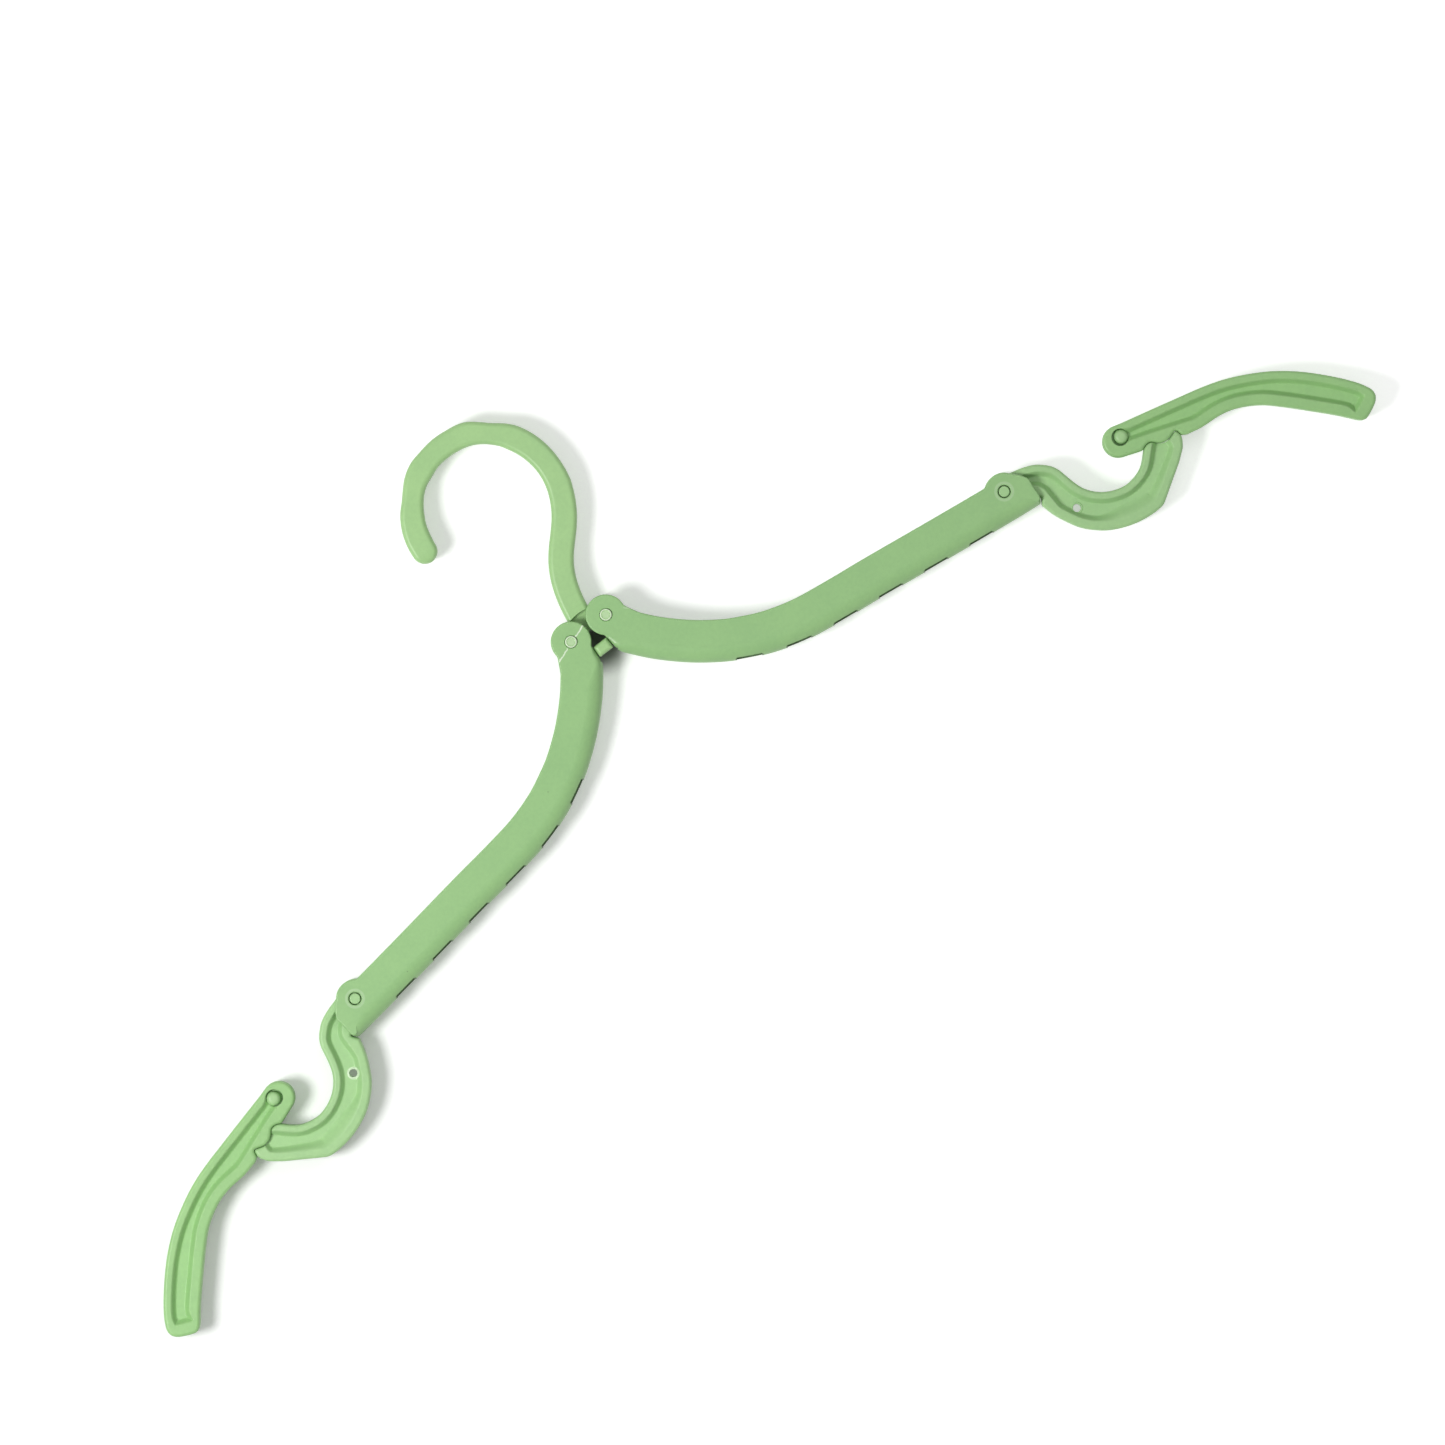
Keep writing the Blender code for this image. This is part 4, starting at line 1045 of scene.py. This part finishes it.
def channel_outline(bottom):
    """The outline of an arm's channel, cut through at its top and both ends."""
    floor = moved_left(bottom, ARM_FLOOR)[FLOOR_START:]
    beyond = END_PIVOT[0] + NOSE_REACH + OVERRUN
    above = HUB_PIVOT[1] + EAR_RADIUS + OVERRUN
    corners = [(beyond, floor[-1][1]), (beyond, above), (-OVERRUN, above)]
    return [(-OVERRUN, floor[0][1])] + floor + corners


def arm_creases_and_highlight():
    """Pale stress lines near the pivots, the one on the right heel partly a painted highlight along the
    fillet's edge, as (start, end, width, strength) in the frame.
    """
    lines = []
    for side, start, end, width, strength in CREASES_AND_HEEL_HIGHLIGHT:
        points = [in_frame((x / MILLIMETRES, z / MILLIMETRES), side) for x, z in (start, end)]
        lines.append((points[0], points[1], width, strength))
    return lines


class HANGER_OT_arms(bpy.types.Operator):
    """Makes the two channel arms with their ears, rounded bottoms and windows."""
    bl_idname = "hanger.arms"
    bl_label = "Arms"

    def execute(self, context):
        sizes = context.scene.hanger_sizes
        bottom = arm_bottom()
        arm = slab("right_channel_arm", arm_layers(bottom, sizes))
        material = moulded_plastic(
            "arm_plastic", context.scene.hanger_colours.arm, seed=2, creases_and_highlight=arm_creases_and_highlight(),
            rings=[(in_frame(END_PIVOT, side), *END_RING) for side in (1, -1)],
            slots=window_shade_lines(bottom, sizes))
        hub_hole = sizes.hub_stud + sizes.hub_gap
        end_hole = sizes.end_stud + sizes.end_gap
        cutters = (
            plate("arm_channel", CHANNEL_HALF, channel_outline(bottom)),
            bore("arm_hub_hole", HUB_PIVOT, hub_hole, ARM_HALF),
            bore("arm_end_hole", END_PIVOT, end_hole, ARM_HALF),
            window_cutters("arm_windows", bottom, sizes, material),
        )
        tidied(carved(arm, [(cutter, "DIFFERENCE") for cutter in cutters]))
        left = mirrored(arm, "left_channel_arm")
        finished(arm, material, "right_arm")
        finished(left, material, "left_arm")
        return {"FINISHED"}


def joint_line(gap=0.0):
    """The line where an end hook and its lever meet, or one beside it."""
    line = smooth(placed(LEVER_PIVOT, JOINT_LINE, JOINT_DROP), 5)
    return moved_left(line, gap) if gap else line


def hook_edges():
    """The end hook's upper edge, its lower edge and its shoulder, going outwards."""
    neck = placed(END_PIVOT, NECK_TOP, NECK_REACH)
    bowl = placed(BOWL_CENTRE, BOWL_INNER, BOWL_RADIUS)
    upper = smooth(neck + bowl + placed(LEVER_PIVOT, JOINT_LINE[:1], JOINT_DROP), 6)
    shoulder = moved_left(placed(END_PIVOT, NOSE[-2:], NOSE_REACH), CLEARANCE)
    lip = (shoulder[1][0] - CLEARANCE, shoulder[1][1] - CLEARANCE)
    lower = smooth([lip] + placed(BOWL_CENTRE, BOWL_OUTER, BOWL_RADIUS), 6)
    return upper, lower + placed(BOWL_CENTRE, BOWL_FLANK, BOWL_RADIUS), shoulder


class HANGER_OT_end_hooks(bpy.types.Operator):
    """Makes the two strap hooks with their raised rims, tongues, studs and lanyard holes."""
    bl_idname = "hanger.end_hooks"
    bl_label = "End Hooks"

    def execute(self, context):
        sizes = context.scene.hanger_sizes
        upper, lower, shoulder = hook_edges()
        over_floor = moved_left(arm_bottom(), ARM_FLOOR + CLEARANCE)[-1]
        in_channel = [(shoulder[1][0], over_floor[1]), (shoulder[0][0], over_floor[1])]
        neck_round = arc(END_PIVOT, NECK_RADIUS, *NECK_ARC)
        points = lower + joint_line()[::-1] + upper[-2::-1] + neck_round + in_channel + shoulder
        hook = rounded_plate("right_strap_hook", outline_of(points), LEVER_HALF, sizes.edge_round)

        root = placed(END_PIVOT, RECESS_ROOT, NECK_REACH)
        mouth = placed(LEVER_PIVOT, RECESS_MOUTH, JOINT_DROP)
        sunk_lower = [p for p in moved_left(lower, sizes.outer_rim) if root[-1][0] < p[0] < mouth[0][0]]
        sunk_upper = [p for p in moved_left(upper, -sizes.inner_rim) if root[0][0] < p[0] < mouth[1][0]]
        recess = outline_of(root + sunk_lower + mouth + sunk_upper[::-1], passes=6)
        run, on_rim = run_along(recess, sunk_lower)
        slope = sizes.wall_slope + sizes.scoop * np.interp(run, *zip(*SCOOP_SHARES)) * on_rim
        steps = pockets("bowl_recess", recess, sizes.bowl_recess, slope)
        tongue = placed(LEVER_PIVOT, TONGUE_ROOT, JOINT_DROP) + arc(LEVER_PIVOT, TONGUE_RADIUS, *TONGUE_ARC)
        lever_stud = stud("lever_stud", LEVER_PIVOT, sizes.lever_stud, LEVER_STUD_HALF, LEVER_STUD_ROUND)
        end_stud = stud("end_stud", END_PIVOT, sizes.end_stud, ARM_HALF, STUD_ROUND)
        hole = placed(BOWL_CENTRE, (LANYARD_HOLE,), BOWL_RADIUS)[0]
        ring_top = LEVER_HALF - sizes.bowl_recess + HOLE_RIM
        steps += [
            (plate("tongue", TONGUE_HALF, tongue), "UNION"),
            (lever_stud, "UNION"),
            (end_stud, "UNION"),
            (stud("lanyard_ring", hole, LANYARD_RING_RADIUS, ring_top, HOLE_RIM), "UNION"),
            (bore("lanyard_hole", hole, LANYARD_HOLE_RADIUS, ring_top), "DIFFERENCE"),
        ]
        tidied(carved(hook, steps))
        left = mirrored(hook, "left_strap_hook")
        material = moulded_plastic(
            "end_hook_plastic", context.scene.hanger_colours.end_hook, seed=3,
            rings=[(in_frame(hole, -1), *LANYARD_RING)], face=ring_top)
        finished(hook, material, "right_end_hook")
        finished(left, material, "left_end_hook")
        return {"FINISHED"}


class HANGER_OT_levers(bpy.types.Operator):
    """Makes the two shoulder levers with their raised rims and forked roots."""
    bl_idname = "hanger.levers"
    bl_label = "Levers"

    def execute(self, context):
        sizes = context.scene.hanger_sizes
        top = smooth(placed(LEVER_PIVOT, LEVER_TOP, LEVER_REACH), 6)
        tip = smooth([top[-1]] + placed(LEVER_PIVOT, LEVER_TIP, LEVER_REACH), 4)[1:]
        bottom = smooth([tip[-1]] + placed(LEVER_PIVOT, LEVER_BOTTOM, LEVER_REACH), 6)[1:]
        round_centre = placed(LEVER_PIVOT, (LEVER_END,), JOINT_DROP)[0]
        round_end = arc(round_centre, LEVER_END_RADIUS, *LEVER_END_ARC)
        points = round_end + joint_line(sizes.joint_gap) + bottom[::-1] + tip[::-1] + top[::-1]
        lever = rounded_plate("right_shoulder_lever", outline_of(points), LEVER_HALF, sizes.edge_round)

        hole_radius = sizes.lever_hole
        hole_centre = (LEVER_PIVOT[0] - sizes.lever_play, LEVER_PIVOT[1])
        around_stud = hole_radius + HOLE_RIM
        tip_floor = placed(LEVER_PIVOT, RECESS_TIP, LEVER_REACH)
        past_stud = LEVER_PIVOT[0] + around_stud
        above_tip = tip_floor[1][1] + sizes.upper_rim
        sunk_top = [p for p in moved_left(top, -sizes.upper_rim) if p[0] > past_stud and p[1] > above_tip]
        above_tip = tip_floor[0][1] + sizes.lower_rim
        sunk_bottom = [p for p in moved_left(bottom[:-ROOT_POINTS], -sizes.lower_rim) if p[1] > above_tip]
        past_joint = placed(LEVER_PIVOT, LOWER_WALL, JOINT_DROP)
        recess = arc(LEVER_PIVOT, around_stud, *STUD_WALL_ARC) + past_joint + sunk_bottom[::-1] + tip_floor
        recess = outline_of(recess + sunk_top[::-1], passes=4)
        steps = pockets("lever_recess", recess, sizes.lever_recess, sizes.wall_slope)
        root = placed(LEVER_PIVOT, FORK_ROOT, JOINT_DROP)
        far_left = LEVER_PIVOT[0] - 2 * JOINT_DROP
        fork = [(far_left, root[0][1]), (far_left, root[-1][1])] + root[::-1]
        hole = round_outline(hole_centre, hole_radius)
        steps.append((plate("fork", TONGUE_HALF + CLEARANCE, fork), "DIFFERENCE"))
        steps.append((plate("lever_hole", LEVER_HALF + OVERRUN, hole), "DIFFERENCE"))
        tidied(carved(lever, steps))
        left = mirrored(lever, "left_shoulder_lever")
        material = moulded_plastic("lever_plastic", context.scene.hanger_colours.lever, seed=4)
        finished(lever, material, "right_lever")
        finished(left, material, "left_lever")
        return {"FINISHED"}


def soft_light(name, centre, aim, distance, size, power):
    """A round lamp in a given direction from the hanger, turned towards it."""
    aim = aim.normalized()
    data = bpy.data.lights.new(name, "AREA")
    data.shape = "DISK"
    data.size = size
    data.energy = power
    lamp = linked(name, data)
    lamp.location = centre + aim * distance
    lamp.rotation_euler = (-aim).to_track_quat("-Z", "Y").to_euler()


class HANGER_OT_stage(bpy.types.Operator):
    """Makes the white table top behind the hanger, the soft lights and the camera."""
    bl_idname = "hanger.stage"
    bl_label = "Stage"

    def execute(self, context):
        stage = context.scene.stage_settings
        centre = Vector(stage.picture_centre)
        right = Vector((cos(stage.picture_turn), 0, -sin(stage.picture_turn)))
        up = Vector((sin(stage.picture_turn), 0, cos(stage.picture_turn)))
        toward = Vector((0, -1, 0))

        def direction(aim):
            return aim[0] * right + aim[1] * up + aim[2] * toward

        table_y = STUD_HALF + stage.table_gap
        bm = bmesh.new()
        corners = []
        for side, end in ((-1, -1), (1, -1), (1, 1), (-1, 1)):
            corners.append(bm.verts.new((
                centre.x + side * TABLE_REACH, table_y, centre.z + end * TABLE_REACH)))
        bm.faces.new(corners)
        table = mesh_object("table_top", bm)
        table.data.materials.append(table_top(stage, centre, (right + up).normalized()))

        camera_data = bpy.data.cameras.new("camera")
        camera_data.sensor_width = 36
        camera_data.lens = camera_data.sensor_width * stage.camera_distance / stage.picture_width
        camera = linked("camera", camera_data)
        turn = Matrix((right, up, toward)).transposed().to_4x4()
        camera.matrix_world = Matrix.Translation(centre + toward * stage.camera_distance) @ turn
        context.scene.camera = camera

        soft_light(
            "key_light", centre, direction(KEY_AIM), stage.key_distance, stage.key_size, stage.key_power)
        soft_light(
            "top_light", centre, direction(TOP_AIM), stage.top_distance, stage.top_size, stage.top_power)

        context.scene.world = white_room(stage.fill_strength)
        context.scene.view_settings.view_transform = "Standard"
        return {"FINISHED"}


class HANGER_PT_panel(bpy.types.Panel):
    """Lists the hanger's pieces, sizes, colours and stage."""
    bl_idname = "HANGER_PT_panel"
    bl_label = "Folding Travel Hanger"
    bl_space_type = "VIEW_3D"
    bl_region_type = "UI"
    bl_category = "Hanger"

    def draw(self, context):
        scene = context.scene
        for group in (scene.hanger_sizes, scene.hanger_colours, scene.stage_settings):
            box = self.layout.box()
            for name in group.bl_rna.properties.keys():
                if name not in ("rna_type", "name"):
                    box.prop(group, name)
        for operator in OPERATORS:
            self.layout.operator(operator.bl_idname)


GROUPS = {"hanger_sizes": HangerSizes, "hanger_colours": HangerColours, "stage_settings": StageSettings}
OPERATORS = (HANGER_OT_hook, HANGER_OT_arms, HANGER_OT_end_hooks, HANGER_OT_levers, HANGER_OT_stage)
CLASSES = (*GROUPS.values(), *OPERATORS, HANGER_PT_panel)


def register():
    for made in CLASSES:
        bpy.utils.register_class(made)
    for name, group in GROUPS.items():
        setattr(bpy.types.Scene, name, bpy.props.PointerProperty(type=group))


def unregister():
    for name in GROUPS:
        delattr(bpy.types.Scene, name)
    for made in reversed(CLASSES):
        bpy.utils.unregister_class(made)


def main():
    register()
    bpy.ops.hanger.hook()
    bpy.ops.hanger.arms()
    bpy.ops.hanger.end_hooks()
    bpy.ops.hanger.levers()
    bpy.ops.hanger.stage()


if __name__ == "__main__":
    main()
